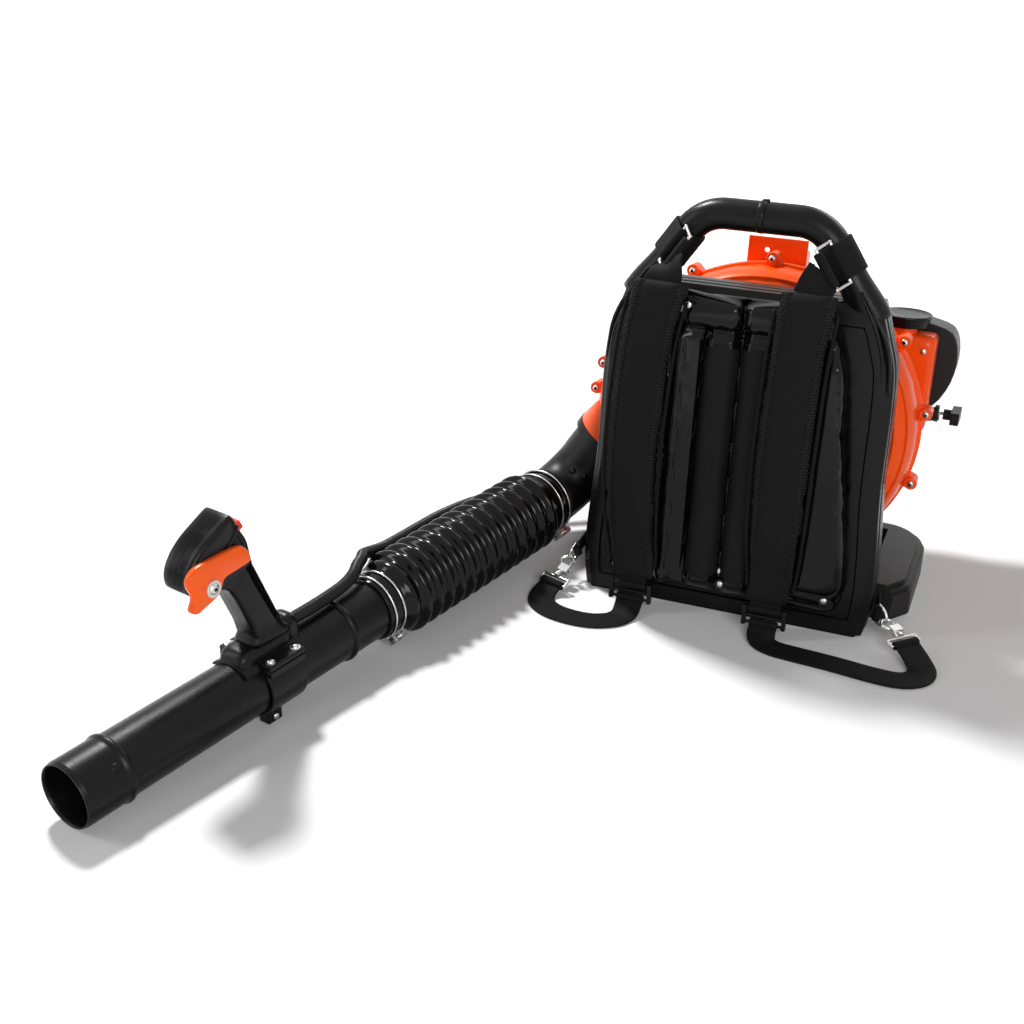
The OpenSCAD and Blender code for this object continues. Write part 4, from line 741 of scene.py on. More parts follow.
# flat band with rolled edges; its own u runs along it
def webBand(name, route, sides, widths, thick, slotName="webbing", closed=False):
    n = len(route)
    ringsHere = []
    for i, p in enumerate(route):
        if closed:
            t = (route[(i + 1) % n] - route[i - 1]).normalized()
        else:
            t = heading(route, i)
        side = (sides[i] if isinstance(sides, list) else sides)
        normal = t.cross(side).normalized()
        side = normal.cross(t).normalized()
        w = (widths[i] if isinstance(widths, list) else widths) / 2
        h = thick / 2
        section = [(w, 0), (w - 0.0004, h * 0.75), (w - 0.0016, h), (w * 0.5, h), (0, h), (-w * 0.5, h),
                   (0.0016 - w, h), (0.0004 - w, h * 0.75),
                   (-w, 0), (0.0004 - w, -h * 0.75), (0.0016 - w, -h), (-w * 0.5, -h), (0, -h), (w * 0.5, -h),
                   (w - 0.0016, -h), (w - 0.0004, -h * 0.75)]
        ringsHere.append([p + a * side + b * normal for a, b in section])
    m = 16
    verts = [v for ring in ringsHere for v in ring]
    faces = loftFaces(n, m, True, not closed)
    if closed:
        faces += [((n - 1) * m + j, (n - 1) * m + (j + 1) % m, (j + 1) % m, j) for j in range(m)]
    mesh = bpy.data.meshes.new(name)
    mesh.from_pydata([tuple(v) for v in verts], [], faces)
    layer = mesh.uv_layers.new(name="weave")
    run = [0.0]
    for a, b in zip(route, route[1:]):
        run.append(run[-1] + (b - a).length)
    for loop in mesh.loops:
        i, j = divmod(loop.vertex_index, m)
        edge = ringsHere[i][0] - route[i]
        off = (ringsHere[i][j] - route[i]).dot(edge) / max(edge.length, 1e-6)
        layer.data[loop.index].uv = (run[i] * 100, off * 100)
    obj = added(name, mesh)
    mesh.materials.append(materials[slotName])
    tidyMesh(obj, 60)
    return obj


legTop = Vector((bar["legTop"][0], 0, bar["legTop"][1]))
loopAlong = 0.018
loopAt = legTop + loopAlong * Vector((math.cos(dip), 0, -math.sin(dip)))
loopTip, ringTip = (-0.002, -0.025), (0.011, -0.045)


def onLeg(side, x, y, z):  # z along the handle's leg, -x outwards, y back
    a = math.radians(90 + bar["dip"])
    px = loopAt.x + x * math.cos(a) + z * math.sin(a)
    pz = loopAt.z - x * math.sin(a) + z * math.cos(a)
    return leaning(side * px, bar["depth"] + y, pz)


def loopPath(bigR, tip, smallR, count=64):  # outline round the leg and the ring's bar, as a belt
    big, small = Vector((0, 0)), Vector(tip)
    d = (small - big)
    base = math.atan2(d.y, d.x)
    spread = math.acos((bigR - smallR) / d.length)
    pts = []
    for k in range(count // 2):
        a = base + spread + (2 * math.pi - 2 * spread) * k / (count // 2 - 1)
        pts.append(big + bigR * Vector((math.cos(a), math.sin(a))))
    for k in range(count // 4):
        a = base - spread + 2 * spread * k / (count // 4 - 1)
        pts.append(small + smallR * Vector((math.cos(a), math.sin(a))))
    return pts


for side, name in leftRight:
    t = webbing["thick"]
    belt = loopPath(bar["radius"] + 0.0003 + t / 2, loopTip, webbing["ringWire"] / 2 + 0.0004 + t / 2)
    route = [onLeg(side, p.x, p.y, 0) for p in belt]
    axis = (onLeg(side, 0, 0, 0.01) - onLeg(side, 0, 0, 0)).normalized()
    loop = webBand("legLoop" + name, route, axis, webbing["wide"], t, closed=True)
    eye = [onLeg(side, ringTip[0] + (webbing["ringWire"] / 2 + 0.0004 + t / 2) * math.cos(a), ringTip[1]
                 + (webbing["ringWire"] / 2 + 0.0004 + t / 2) * math.sin(a), 0)
           for a in turns(24)]
    wrap = webBand("ringWrap" + name, eye, axis, webbing["wide"], t, closed=True)
    top = strapRoutes[name][0]
    end = Vector(leaning(top[0], top[1], top[2]))
    start = onLeg(side, ringTip[0], ringTip[1], 0)
    axisEnd = Vector((side, 0, 0)) if axis.x * side > 0 else Vector((-side, 0, 0))
    count = 14
    run, sides = [], []
    startOff = (end - start).normalized() * 0.0035
    down = (leaning(*strapRoutes[name][1][:3]) - end).normalized()
    for k in range(count + 1):
        f = k / count
        p = (start + startOff).lerp(end + down * 0.010, f)
        p += leanDir(0, -0.0022, 0) * math.sin(math.pi * f) * 1.2
        run.append(p)
        sides.append(axis.lerp(axisEnd, smoothStep(0, 1, f)).normalized())
    hang = webBand("upperWebbing" + name, run, sides, webbing["wide"], t * 0.8)
    seam = []
    for k in range(9):
        for row in (0.20, 0.28):
            at = run[0].lerp(run[-1], row)
            s = sides[int(row * count)]
            n = heading(run, int(row * count)).cross(s).normalized()
            n = n if n.dot(leanDir(0, -1, 0)) > 0 else -n
            seam.append((at + s * (k - 4) * 0.0042 + n * (t * 0.4 + 0.0028 * math.sin(math.pi * row) * 0.1), n,
                         s))
    sewn = scatter("loopStitches" + name, "bead", seam, "thread", 0.0011, stretch=(1.5, 0.5, 0.5))
    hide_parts("upper_loop_" + name.lower())
    for piece in (loop, wrap, hang, sewn):
        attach(piece, "backpack")

anchors = [
    {"name": "Left", "at": Vector((-0.193, -0.122, 0.036)), "dir": Vector((-14, -40, -25)).normalized(),
     "hint": Vector((1, 0, 0)), "turn": 0},
    {"name": "Right", "at": Vector((0.194, -0.118, 0.028)), "dir": Vector((35, -34, -10)).normalized(),
     "hint": Vector((1, 1, 0)), "turn": 37},
]


def axesOf(at, along, hint):
    z = along.normalized()
    y = z.cross(hint).normalized()
    x = y.cross(z)
    return lambda u, v, w: at + u * x + v * y + w * z


webFloor = webbing["thick"] / 2 + 0.0003
eyeZ, eyeLen, barOut = 0.038, 0.010, 0.009
loopIn = 0.0018 + 0.0004
webStart = loopIn + 0.0015
buckleAt = {n: (r[-1][0], r[-1][1], r[-1][2] - 0.018) for n, r in strapRoutes.items()}
lowRuns = {
    "Left": [(-0.212, -0.179, 0.0038), (-0.206, -0.198, webFloor), (-0.187, -0.212, webFloor),
             (-0.160, -0.218, webFloor),
             (-0.134, -0.216, webFloor), (-0.113, -0.205, webFloor), (-0.104, -0.191, webFloor + 0.0006),
             (-0.102, -0.181, 0.0065)],
    "Right": [(0.243, -0.166, 0.0095), (0.252, -0.181, 0.0034), (0.248, -0.197, webFloor),
              (0.230, -0.208, webFloor),
              (0.200, -0.208, webFloor), (0.155, -0.202, webFloor), (0.110, -0.198, webFloor),
              (0.084, -0.195, webFloor + 0.0002),
              (0.069, -0.188, 0.0034), (0.0645, -0.1795, 0.008)],
}
for anchor in anchors:
    name, at, along = anchor["name"], anchor["at"], anchor["dir"]
    eye = axesOf(at, along, Vector((0, 0, 1)))
    own = axesOf(at, along, anchor["hint"])
    bx, bd, bz = buckleAt[name]
    start = at + (eyeZ + eyeLen + webStart) * along
    end = leaning(bx, bd, bz - barOut) + webStart * Vector((0, -0.75, -0.66))
    route = evenly(curveThrough([start] + [Vector(p) for p in lowRuns[name]] + [end], 6), 0.004)
    sides = []
    for i, p in enumerate(route):
        t = heading(route, i)
        sides.append(Vector((-t.y, t.x, 0)).normalized())
    run = webBand("lowerStrap" + name, route, sides, webbing["low"], webbing["thick"] * 0.9)
    mid = loopIn + webbing["thick"] / 2
    eyeWrap = webBand("eyeWrap" + name, [eye(mid * math.cos(a), 0, eyeZ + eyeLen + mid * math.sin(a))
                                         for a in turns(20)],
                      (eye(0, 1, 0) - eye(0, 0, 0)), webbing["low"], webbing["thick"], closed=True)
    barWrap = webBand("barWrap" + name, [leaning(bx, bd + mid * math.cos(a), bz - barOut + mid * math.sin(a))
                                         for a in turns(20)],
                      Vector((1, 0, 0)), webbing["low"], webbing["thick"], closed=True)
    padWrap = webBand("padWrap" + name, [leaning(bx, bd + mid * math.cos(a), bz + barOut + mid * math.sin(a))
                                         for a in turns(20)],
                      Vector((1, 0, 0)), webbing["wide"] * 0.9, webbing["thick"], closed=True)
    padEnd = webBand("padEnd" + name, [leaning(bx, bd, bz + barOut + loopIn + 0.0006 + 0.0022 * k)
                                       for k in range(7)], Vector((1, 0, 0)), webbing["wide"] * 0.9,
                                       webbing["thick"])
    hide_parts("lower_webbing_" + name.lower())
    dBar, tabR = -0.009, 0.0016 + 0.0006 + webbing["thick"] / 2
    turn = math.radians(anchor["turn"])
    ring = [own(tabR * math.cos(a), 0, dBar - tabR * math.sin(a)) for a in turns(20)]
    tabWrap = webBand("tabWrap" + name, ring, own(0, 1, 0) - own(0, 0, 0), 0.020, webbing["thick"], closed=True)
    tabRun = [own(s * math.sin(turn), 0, dBar - s * math.cos(turn))
              for s in [0.003 + 0.0025 * k for k in range(11)]]
    tab = webBand("anchorTab" + name, tabRun, own(0, 1, 0) - own(0, 0, 0), 0.020, webbing["thick"])
    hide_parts("anchor_tabs")
    for piece in (run, eyeWrap, barWrap, padWrap, padEnd, tabWrap, tab):
        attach(piece, "backpack")
print("webbing")

# blow tube: ribbed bellows, beaded pipe with a thin mouth, loom of ribbed conduit
tubeSizes = {"cuff": 0.028, "ribStart": 0.037, "pitch": 0.271 / 13, "ribs": 13, "frontCuff": 0.3244,
             "ribR": 0.0518, "grooveR": 0.0432, "length": 0.776, "pipeR": 0.035}
profile = [(0.0398, 0.0012), (0.0418, 0.0010), (0.0425, 0.0018), (0.0425, tubeSizes["cuff"] - 0.0008),
           (0.0422, tubeSizes["cuff"]), (0.0428, tubeSizes["cuff"] + 0.004)]
for i in range(tubeSizes["ribs"]):
    z0 = tubeSizes["ribStart"] + tubeSizes["pitch"] * i
    for f, q in ((0.06, 0.0), (0.16, 0.10), (0.24, 0.42), (0.32, 0.78), (0.40, 0.95), (0.50, 1.0),
                 (0.60, 0.95), (0.68, 0.78), (0.76, 0.42), (0.84, 0.10), (0.94, 0.0)):
        profile.append((tubeSizes["grooveR"] + (tubeSizes["ribR"] - tubeSizes["grooveR"]) * q,
                        z0 + tubeSizes["pitch"] * f))
frontCuff = tubeSizes["frontCuff"]
profile += [(0.0452, frontCuff - 0.0145), (0.0459, frontCuff - 0.012), (0.0459, frontCuff - 0.0095),
            (0.0452, frontCuff - 0.0065), (0.0432, frontCuff - 0.0035), (0.0404, frontCuff - 0.0010),
            (0.0388, frontCuff + 0.0010),
            (0.0383, frontCuff + 0.0030), (0.0383, frontCuff + 0.0270), (0.0378, frontCuff + 0.0280),
            (0.0355, frontCuff + 0.0280), (0.0354, frontCuff - 0.002), (0.0402, frontCuff - 0.008),
            (0.0402, 0.040), (0.0396, 0.029)]
bellows = lathe("ribbedBellows", profile, tubePoint, "gloss_black", 120, sharp=70)
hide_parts("bellows")
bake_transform(bellows)

loom = {"radius": 0.0073, "groove": 0.0063, "pitch": 0.0034}
handleZ = 0.523  # the control handle, from the elbow's end
ahead = [(0, 0.046, handleZ - 0.052), (0, 0.046, handleZ - 0.064), (0, 0.046, handleZ - 0.087),
         (-0.002, 0.0455, frontCuff + 0.084), (-0.004, 0.0465, frontCuff + 0.058),
         (-0.010, 0.0485, frontCuff + 0.036),
         (-0.022, 0.047, frontCuff + 0.017), (-0.033, 0.0435, frontCuff - 0.002),
         (-0.046, 0.038, frontCuff - 0.019), (-0.052, 0.031, frontCuff - 0.039),
         (-0.0548, 0.025, frontCuff - 0.066), (-0.0552, 0.024, 0.225),
         (-0.0552, 0.024, 0.190), (-0.0558, 0.023, 0.155), (-0.0572, 0.019, 0.120), (-0.0588, 0.0135, 0.088),
         (-0.060, 0.0075, 0.060), (-0.059, 0.0015, 0.034), (-0.055, -0.005, 0.006)]
behind = [(-0.314, 0, 0.052), (-0.298, 0.030, 0.058), (-0.276, 0.058, 0.078), (-0.255, 0.084, 0.100),
          (-0.222, 0.098, 0.118), (-0.190, 0.104, 0.130), (-0.150, 0.104, 0.134),
          (-0.105, 0.103, 0.127), (-0.060, 0.102, 0.117), (-0.020, 0.102, 0.111), (0.015, 0.102, 0.112),
          (0.046, 0.103, 0.122), (0.066, 0.106, 0.148), (0.071, 0.110, 0.180)]
carbFoot = Vector((0.012 + 0.044 + 0.008, 0.193 + 0.042 - 0.009, 0.205 + 0.060 + 0.006))
loomKnots = [tubePoint(*p) for p in ahead] + [Vector(p) for p in behind] + [leaning(carbFoot.x, carbFoot.y,
        carbFoot.z + dz) for dz in (-0.040, -0.020, 0)]
loomLine = curveThrough(loomKnots, 6)


def loomPiece(name, first, last):
    path = evenly(loomLine[6 * first:6 * last + 1], loom["pitch"] / 4)
    radii = [(loom["radius"], loom["radius"], loom["groove"], loom["groove"])[i % 4] for i in range(len(path))]
    return sweep(name, path, radii, 16, "black_rubber")


loomFront = loomPiece("loomFront", 0, 7)
loomBeside = loomPiece("loomBeside", 7, 18)
loomBehind = loomPiece("loomBehind", 18, 24)
loomRear = loomPiece("loomRear", 24, len(loomKnots) - 1)
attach(loomFront, "blow_tube")
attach(loomRear, "backpack")
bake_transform(loomBeside)
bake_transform(loomBehind)
for piece, nodeName in ((loomFront, "conduit_front"), (loomBeside, "conduit_middle"),
                        (loomBehind, "conduit_loop"), (loomRear, "conduit_rear")):
    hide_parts(nodeName)

mouth = tubeSizes["length"]
beadBack, beadFront = frontCuff + 0.083, mouth - 0.054


def beadRound(z, first, last):  # (radius, along) points round a raised bead
    angles = [math.radians(d) for d in range(first, last, 12)]
    return [(0.033 + 0.005 * math.cos(a), z + 0.005 * math.sin(a)) for a in angles]


pipeProfile = [(0.0321, frontCuff - 0.004), (0.035, frontCuff - 0.004), (0.035, beadBack - 0.0062),
               *beadRound(beadBack, -66, 67)]
pipeProfile += [(0.035, beadBack + 0.0062), (0.035, beadFront - 0.0065), *beadRound(beadFront, -66, 50)]
pipeProfile += [(0.0360, beadFront + 0.006)] + [(r, mouth - back) for r, back in (
    (0.0360, 0.0052), (0.0357, 0.0040), (0.0352, 0.0030), (0.0350, 0.0010),
    (0.0345, 0), (0.0336, 0), (0.0328, 0.0012), (0.0321, 0.004))]
pipe = lathe("beadedPipe", pipeProfile, tubePoint, "black_plastic", 128, sharp=50)
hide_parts("blow_pipe")
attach(pipe, "blow_tube")
nubTurn = math.radians(38)
nubOut = math.cos(nubTurn) * tubeX + math.sin(nubTurn) * tubeY
mouthNub = scatter("mouthNub", "bead", [(tubePoint(0, 0, beadFront + 0.012) + 0.0362 * nubOut, nubOut, blowOn)],
                   "black_plastic", 0.0045, stretch=(1.5, 1.0, 0.35))
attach(mouthNub, "blow_tube")
elbow = {"radius": 0.0395, "bend": 0.067}
blowOut = leanDir(-math.cos(math.radians(57)), 0, -math.sin(math.radians(57)))
inwardWay = (-blowOut + blowOut.dot(blowOn) * blowOn).normalized()


def onElbow(turn, towards, out=0.0):  # a point on the bend's skin, facing roughly the way given
    a = math.radians(turn)
    centre = elbowEnd + elbow["bend"] * (1 - math.cos(a)) * inwardWay - elbow["bend"] * math.sin(a) * blowOn
    ahead = (math.sin(a) * inwardWay - math.cos(a) * blowOn).normalized()
    away = (towards - towards.dot(ahead) * ahead).normalized()
    return centre + away * (elbow["radius"] - 0.0005 + out), away


elbowBumps = scatter("elbowBumps", "bead", [(*onElbow(turn, Vector(way)), Vector((0, 0, 1)))
                                            for turn, way in ((52, (0.25, -0.75, 0.6)),
                                                    (62, (0.55, -0.75, 0.35)))],
                     "gloss_black", 0.0046, stretch=(1, 1, 0.5))
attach(elbowBumps, "elbow_pipe")
print("tube, bellows, loom")

# fan housing: smooth scroll halves with raised ribs, seam flange, screw lugs
fan = {"x": 0.012, "z": 0.205, "front": 0.083, "depth": 0.110, "radius": 0.152, "grow": 0.078, "tongue": 225}


def scrollAt(t):
    return fan["radius"] + fan["grow"] * (0.875 * (1 - smoothStep(315, 360, t)) if t > 315 else t / 360)


def onFan(r, t, d):  # t in degrees round the scroll from its tongue, d back from the housing's front face
    a = math.radians(fan["tongue"] + t)
    return leaning(fan["x"] + r * math.cos(a), fan["front"] + d, fan["z"] + r * math.sin(a))


def shoulderPoint(t, inward):  # a point on the rounded front shoulder, by distance in from the rim
    table = [(0, 0.036), (0.002, 0.024), (0.008, 0.012), (0.019, 0.003), (0.034, 0), (0.070, 0)]
    for (i0, d0), (i1, d1) in zip(table, table[1:]):
        if inward <= i1:
            return inward, d0 + (d1 - d0) * (inward - i0) / (i1 - i0)
    return inward, 0


housingPieces = []
for nodeName, pieceName in (("volute_front", "scrollFront"), ("volute_rear", "scrollRear")):
    half = copyOfNode(nodeName, pieceName, "orange_plastic", sharp=40)
    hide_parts(nodeName)
    housingPieces.append(half)
for k, (inward, first, last, size) in enumerate(((0.0085, 12, 300, 0.0022), (0.0225, 14, 298, 0.0026),
                                                 (0.039, 18, 294, 0.0026), (0.054, 22, 290, 0.0022))):
    for back in (0, 1):
        path, radii = [], []
        count = 120
        for i in range(count + 1):
            t = first + (last - first) * i / count
            reach, d = shoulderPoint(t, inward)
            if back:
                d = fan["depth"] - d
            path.append(onFan(scrollAt(t) - reach, t, d))
            radii.append(size * max(min(smoothStep(-1, 7, i), smoothStep(-1, 7, count - i)), 0.12))
        housingPieces.append(sweep("scrollRib" + ("Rear" if back else "Front") + str(k), path, radii, 12,
                                   "orange_plastic", up=leanDir(0, 1, 0)))
rings = []
for i in range(141):  # flange where the two halves meet
    t = 6 + (312 - 6) * i / 140
    r = scrollAt(t)
    ring = []
    for dr, dd in ((-0.003, -0.0042), (0.0022, -0.0042), (0.0034, -0.0032), (0.0036, -0.0004), (0.0029, 0),
                   (0.0036, 0.0004), (0.0034, 0.0032), (0.0022, 0.0042), (-0.003, 0.0042)):
        ring.append(onFan(r + dr, t, fan["depth"] / 2 + dd))
    rings.append(ring)
housingPieces.append(loft("seamFlange", rings, "orange_plastic", sharp=50))
lugTurns = [(4.5 + 3 * i) * 9 for i in range(10)] + [33.5 * 9, 34.5 * 9]
eyelets, heads, socketShadeSpots, nuts = [], [], [], []
frontDir, backDir = leanDir(0, -1, 0), leanDir(0, 1, 0)
for t in lugTurns:
    r = scrollAt(t) + 0.009
    upward = onFan(r + 0.01, t, 0) - onFan(r, t, 0)
    eyelets.append((onFan(r, t, fan["depth"] / 2 - 0.0115), frontDir, upward))
    heads.append((onFan(r, t, fan["depth"] / 2 - 0.0150), frontDir, upward))
    socketShadeSpots.append((onFan(r, t, fan["depth"] / 2 - 0.0158), frontDir, upward))
    nuts.append((onFan(r, t, fan["depth"] / 2 + 0.0118), backDir, upward))
lugRings = scatter("lugRings", "disc", eyelets, "orange_plastic", 0.0078, 0.0060)
softEdges(lugRings, 0.0012, 40, 2)
screwHeads = scatter("housingScrewHeads", "bead", heads, "zinc_steel", 0.0044, stretch=(1, 1, 0.62))
# dark hex discs on the screw heads: painted shade standing in for the socket recesses
screwSocketShades = scatter("housingScrewSocketShades", "hex", [(p + frontDir * 0.0018, n, u) for p, n, u in socketShadeSpots],
                       "gloss_black", 0.0020, 0.0012)
screwNuts = scatter("housingNuts", "hex", nuts, "zinc_steel", 0.0058, 0.0060)
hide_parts("housing_screws")
housingPieces += [lugRings, screwHeads, screwSocketShades, screwNuts]
for piece in housingPieces:
    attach(piece, "backpack")
print("fan housing")

# bracket with a folded lip, as bent plate
bracket = copyOfNode("top_bracket", "bentBracket", "orange_plastic", 30)
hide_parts("top_bracket")
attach(bracket, "backpack")

# fuel: fluted cap
capSizes = {"x": 0.152, "d": 0.213, "base": 0.3373, "flutes": 36}
capProfile = [  # height, radius, depth of the grip flutes
    (0, 0.0296, 0), (0.0006, 0.0300, 0), (0.0085, 0.0300, 0), (0.0095, 0.0306, 0.0002),
    (0.0100, 0.0316, 0.0004), (0.0106, 0.0320, 0.0004), (0.0124, 0.0320, 0.0004),
    (0.0133, 0.0317, 0.0002), (0.0139, 0.0309, 0), (0.0140, 0.0298, 0), (0.0134, 0.0290, 0), (0.0133, 0.0140, 0)
]
rings = []
for z, r, flute in capProfile:
    around = turns(capSizes["flutes"] * 6)
    radii = [r - flute * (0.5 + 0.5 * math.cos(capSizes["flutes"] * a)) for a in around]
    rings.append([leaning(capSizes["x"] + q * math.cos(a), capSizes["d"] + q * math.sin(a), capSizes["base"]
                          + z) for q, a in zip(radii, around)])
cap = loft("flutedCap", rings, "black_plastic", sharp=55)
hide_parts("fuel_cap")
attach(cap, "tank_cap")

# control handle: rounded grip halves, saddle, lever
def onHandle(x, y, z):  # x across, y up, z towards the mouth
    return tubePoint(x, y, handleZ + z)


gripSide = [(-0.029, 0.0539), (-0.023, 0.067), (-0.0174, 0.079), (-0.001, 0.116), (0.0116, 0.148),
            (0.0105, 0.155), (0.010, 0.162), (0.013, 0.178), (0.020, 0.192),
            (0.026, 0.206), (0.030, 0.211), (0.035, 0.2105), (0.048, 0.2045), (0.066, 0.1955),
            (0.0785, 0.1865), (0.0875, 0.1765), (0.0928, 0.166), (0.094, 0.156), (0.091, 0.148),
            (0.080, 0.142), (0.058, 0.137), (0.042, 0.130), (0.033, 0.116), (0.027, 0.102), (0.017, 0.0765),
            (0.007, 0.0515)]


def insetOutline(points, by):
    n = len(points)
    out = []
    for i in range(n):
        a, b = Vector(points[i - 1]), Vector(points[(i + 1) % n])
        t = (b - a).normalized()
        out.append((points[i][0] + by * t.y, points[i][1] - by * t.x))
    return out


def smoothOutline(points, steps):
    n = len(points)
    out = []
    for i in range(n):
        a, b, c, d = (Vector(points[(i + k) % n]) for k in (-1, 0, 1, 2))
        for k in range(steps):
            t = k / steps
            out.append(tuple(0.5 * (2 * b + (c - a) * t + (2 * a - 5 * b + 4 * c - d) * t * t
                                    + (3 * b - a - 3 * c + d) * t * t * t)))
    return out


# an outline given thickness with a rounded outer edge
def roundedShell(name, outline, half, ease, sign, slotName, start=0.0002):
    ringsHere = []
    area = sum(outline[i - 1][0] * outline[i][1] - outline[i][0] * outline[i - 1][1]
               for i in range(len(outline)))
    inward = 1 if area < 0 else -1
    steps = [(start, 0)] + [(half - ease + ease * math.sin(math.radians(a)),
                             ease * (1 - math.cos(math.radians(a)))) for a in (0, 15, 30, 45, 60, 75, 90)]
    for x, by in steps:
        ringsHere.append([onHandle(sign * x, y, z) for z, y in insetOutline(outline, inward * by)])
    return loft(name, ringsHere, slotName, sharp=60)


handlePieces = []
gripLine = smoothOutline(gripSide, 4)
headLine = smoothOutline(gripSide[4:21], 4)
for sign, name in leftRight:
    body = roundedShell("gripHalf" + name, gripLine, 0.0170, 0.0060, sign, "black_plastic")
    head = roundedShell("headHalf" + name, headLine, 0.0190, 0.0045, sign, "black_plastic")
    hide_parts("grip_" + name.lower())
    handlePieces += [body, head]
ridgePath = curveThrough([onHandle(0.0192, y, z) for z, y in ((0.0235, 0.1985), (0.0300, 0.1890),
        (0.0400, 0.1790), (0.0520, 0.1680), (0.0600, 0.1580), (0.0640, 0.1480))], 6)
handlePieces.append(sweep("headRidge", evenly(ridgePath, 0.002), 0.0011, 10, "black_plastic"))
faceLine = smoothOutline([(0.034, 0.2060), (0.048, 0.1970), (0.064, 0.1895), (0.078, 0.1800), (0.0865, 0.1690),
                          (0.0895, 0.1580), (0.0860, 0.1500), (0.0700, 0.1440),
                          (0.0690, 0.1520), (0.0630, 0.1630), (0.0520, 0.1750), (0.0410, 0.1850),
                          (0.0320, 0.1960)], 4)
for sign, name in leftRight:
    handlePieces.append(roundedShell("headPanel" + name, faceLine, 0.0198, 0.0010, sign, "grey_plastic",
                                     start=0.0170))

leverSide = [(0.031, 0.180), (0.023, 0.175), (0.018, 0.167), (0.018, 0.158), (0.035, 0.1555), (0.052, 0.154),
             (0.057, 0.146), (0.063, 0.139), (0.080, 0.1335), (0.091, 0.131), (0.099, 0.137),
             (0.095, 0.146), (0.095, 0.154), (0.099, 0.164), (0.096, 0.174), (0.084, 0.180), (0.060, 0.181)]
leverLine = smoothOutline(leverSide, 4)
area = sum(leverLine[i - 1][0] * leverLine[i][1] - leverLine[i][0] * leverLine[i - 1][1]
           for i in range(len(leverLine)))
inward = 1 if area < 0 else -1
rings = []
for x, by in ((0.0196, 0.0012), (0.0199, 0.0004), (0.0206, 0), (0.0240, 0), (0.0252, 0.0003), (0.0260, 0.0009),
              (0.0265, 0.0016), (0.0267, 0.0023)):
    rings.append([onHandle(x, y, z) for z, y in insetOutline(leverLine, inward * by)])
lever = loft("thumbLever", rings, "lever_orange", sharp=70)
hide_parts("throttle_lever")
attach(lever, "throttle")
pivotOut = tubeX
washerAt = onHandle(0.0271, 0.150, 0.069)
washer = scatter("pivotWasher", "disc", [(washerAt, pivotOut, blowOn)], "zinc_steel", 0.0092, 0.0012)
softEdges(washer, 0.0003, 40, 2)
pivotHead = scatter("pivotHead", "bead", [(washerAt + pivotOut * 0.0004, pivotOut, blowOn)], "zinc_steel",
                    0.0064, stretch=(1, 1, 0.42))
# dark hex disc on the pivot screw: painted shade standing in for its socket recess
pivotSocketShade = scatter("pivotSocketShade", "hex", [(washerAt + pivotOut * 0.0028, pivotOut, blowOn)], "gloss_black",
                      0.0022, 0.0012)
leverDots = scatter("leverDots", "bead", [(onHandle(0.0266, y, z), pivotOut, blowOn)
                                          for z, y in ((0.082, 0.1555), (0.076, 0.1620))], "lever_orange",
                                          0.0016, stretch=(1.6, 1, 0.5))
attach(leverDots, "throttle")
handlePieces += [washer, pivotHead, pivotSocketShade]

saddleTop = [(-0.052, 0.046, 0.010), (-0.0505, 0.0545, 0.0125), (-0.047, 0.0595, 0.0142),
             (-0.041, 0.0612, 0.0150), (-0.036, 0.0600, 0.0160), (-0.032, 0.0568, 0.0178),
             (-0.027, 0.0545, 0.0198),
             (-0.018, 0.0532, 0.0206), (0.0, 0.0520, 0.0208), (0.018, 0.0508, 0.0206), (0.027, 0.0500, 0.0200),
             (0.032, 0.0484, 0.0190), (0.036, 0.0450, 0.0172), (0.0385, 0.0400, 0.0145), (0.039, 0.0370, 0.012)]
wallR = 0.0336
rings = []
# rounded crown on the pipe, with the loom's hump behind
for knot in curveThrough([(z, h, w) for z, h, w in saddleTop], 4):
    z, h, w = knot
    foot = math.sqrt(wallR ** 2 - w ** 2)
    arc = [math.pi * k / 28 for k in range(29)]
    ring = [onHandle(w * bent(math.cos(a), 0.55), foot + (h - foot) * math.sin(a) ** 0.5 if 0 < a < math.pi
                     else foot, z) for a in arc]
    under = [w * math.sin(math.radians(-90 + 15 * k)) for k in range(1, 12)]
    rings.append(ring + [onHandle(x, math.sqrt(wallR ** 2 - x ** 2), z) for x in under])
saddle = loft("gripSaddle", rings, "black_plastic", sharp=70)
rings = []
for z, grow in ((-0.044, -0.0012), (-0.0432, 0), (0.0392, 0), (0.040, -0.0012)):  # half shell over the pipe
    high = [math.radians(46.5 + 87 * k / 30) for k in range(31)]
    rings.append([onHandle((0.039 + grow) * math.cos(a), (0.039 + grow) * math.sin(a), z) for a in high]
                 + [onHandle(0.0351 * math.cos(a), 0.0351 * math.sin(a), z)
                    for a in [math.radians(126.5 - 73 * k / 30) for k in range(31)]])
saddleShell = loft("saddleShell", rings, "black_plastic", sharp=50)
handlePieces += [saddle, saddleShell]
for side, name in leftRight:  # flanges that the band is screwed to
    section = [(0.0205, 0.0285), (0.0375, 0.0285), (0.0388, 0.0296), (0.0388, 0.0338), (0.0372, 0.0350),
               (0.0240, 0.0352), (0.0190, 0.0372), (0.0180, 0.0340)]
    ends = ((-0.034, 0.0012), (-0.0332, 0.0), (0.0172, 0.0), (0.018, 0.0012))
    rings = [[onHandle(side * (0.028 + (x - 0.028) * (1 - inset * 60)), 0.032 + (y - 0.032) * (1 - inset * 60),
                       z) for x, y in section] for z, inset in ends]
    handlePieces.append(softEdges(loft("saddleFlange" + name, rings, "black_plastic", sharp=30), 0.0006, 30))
rings = []
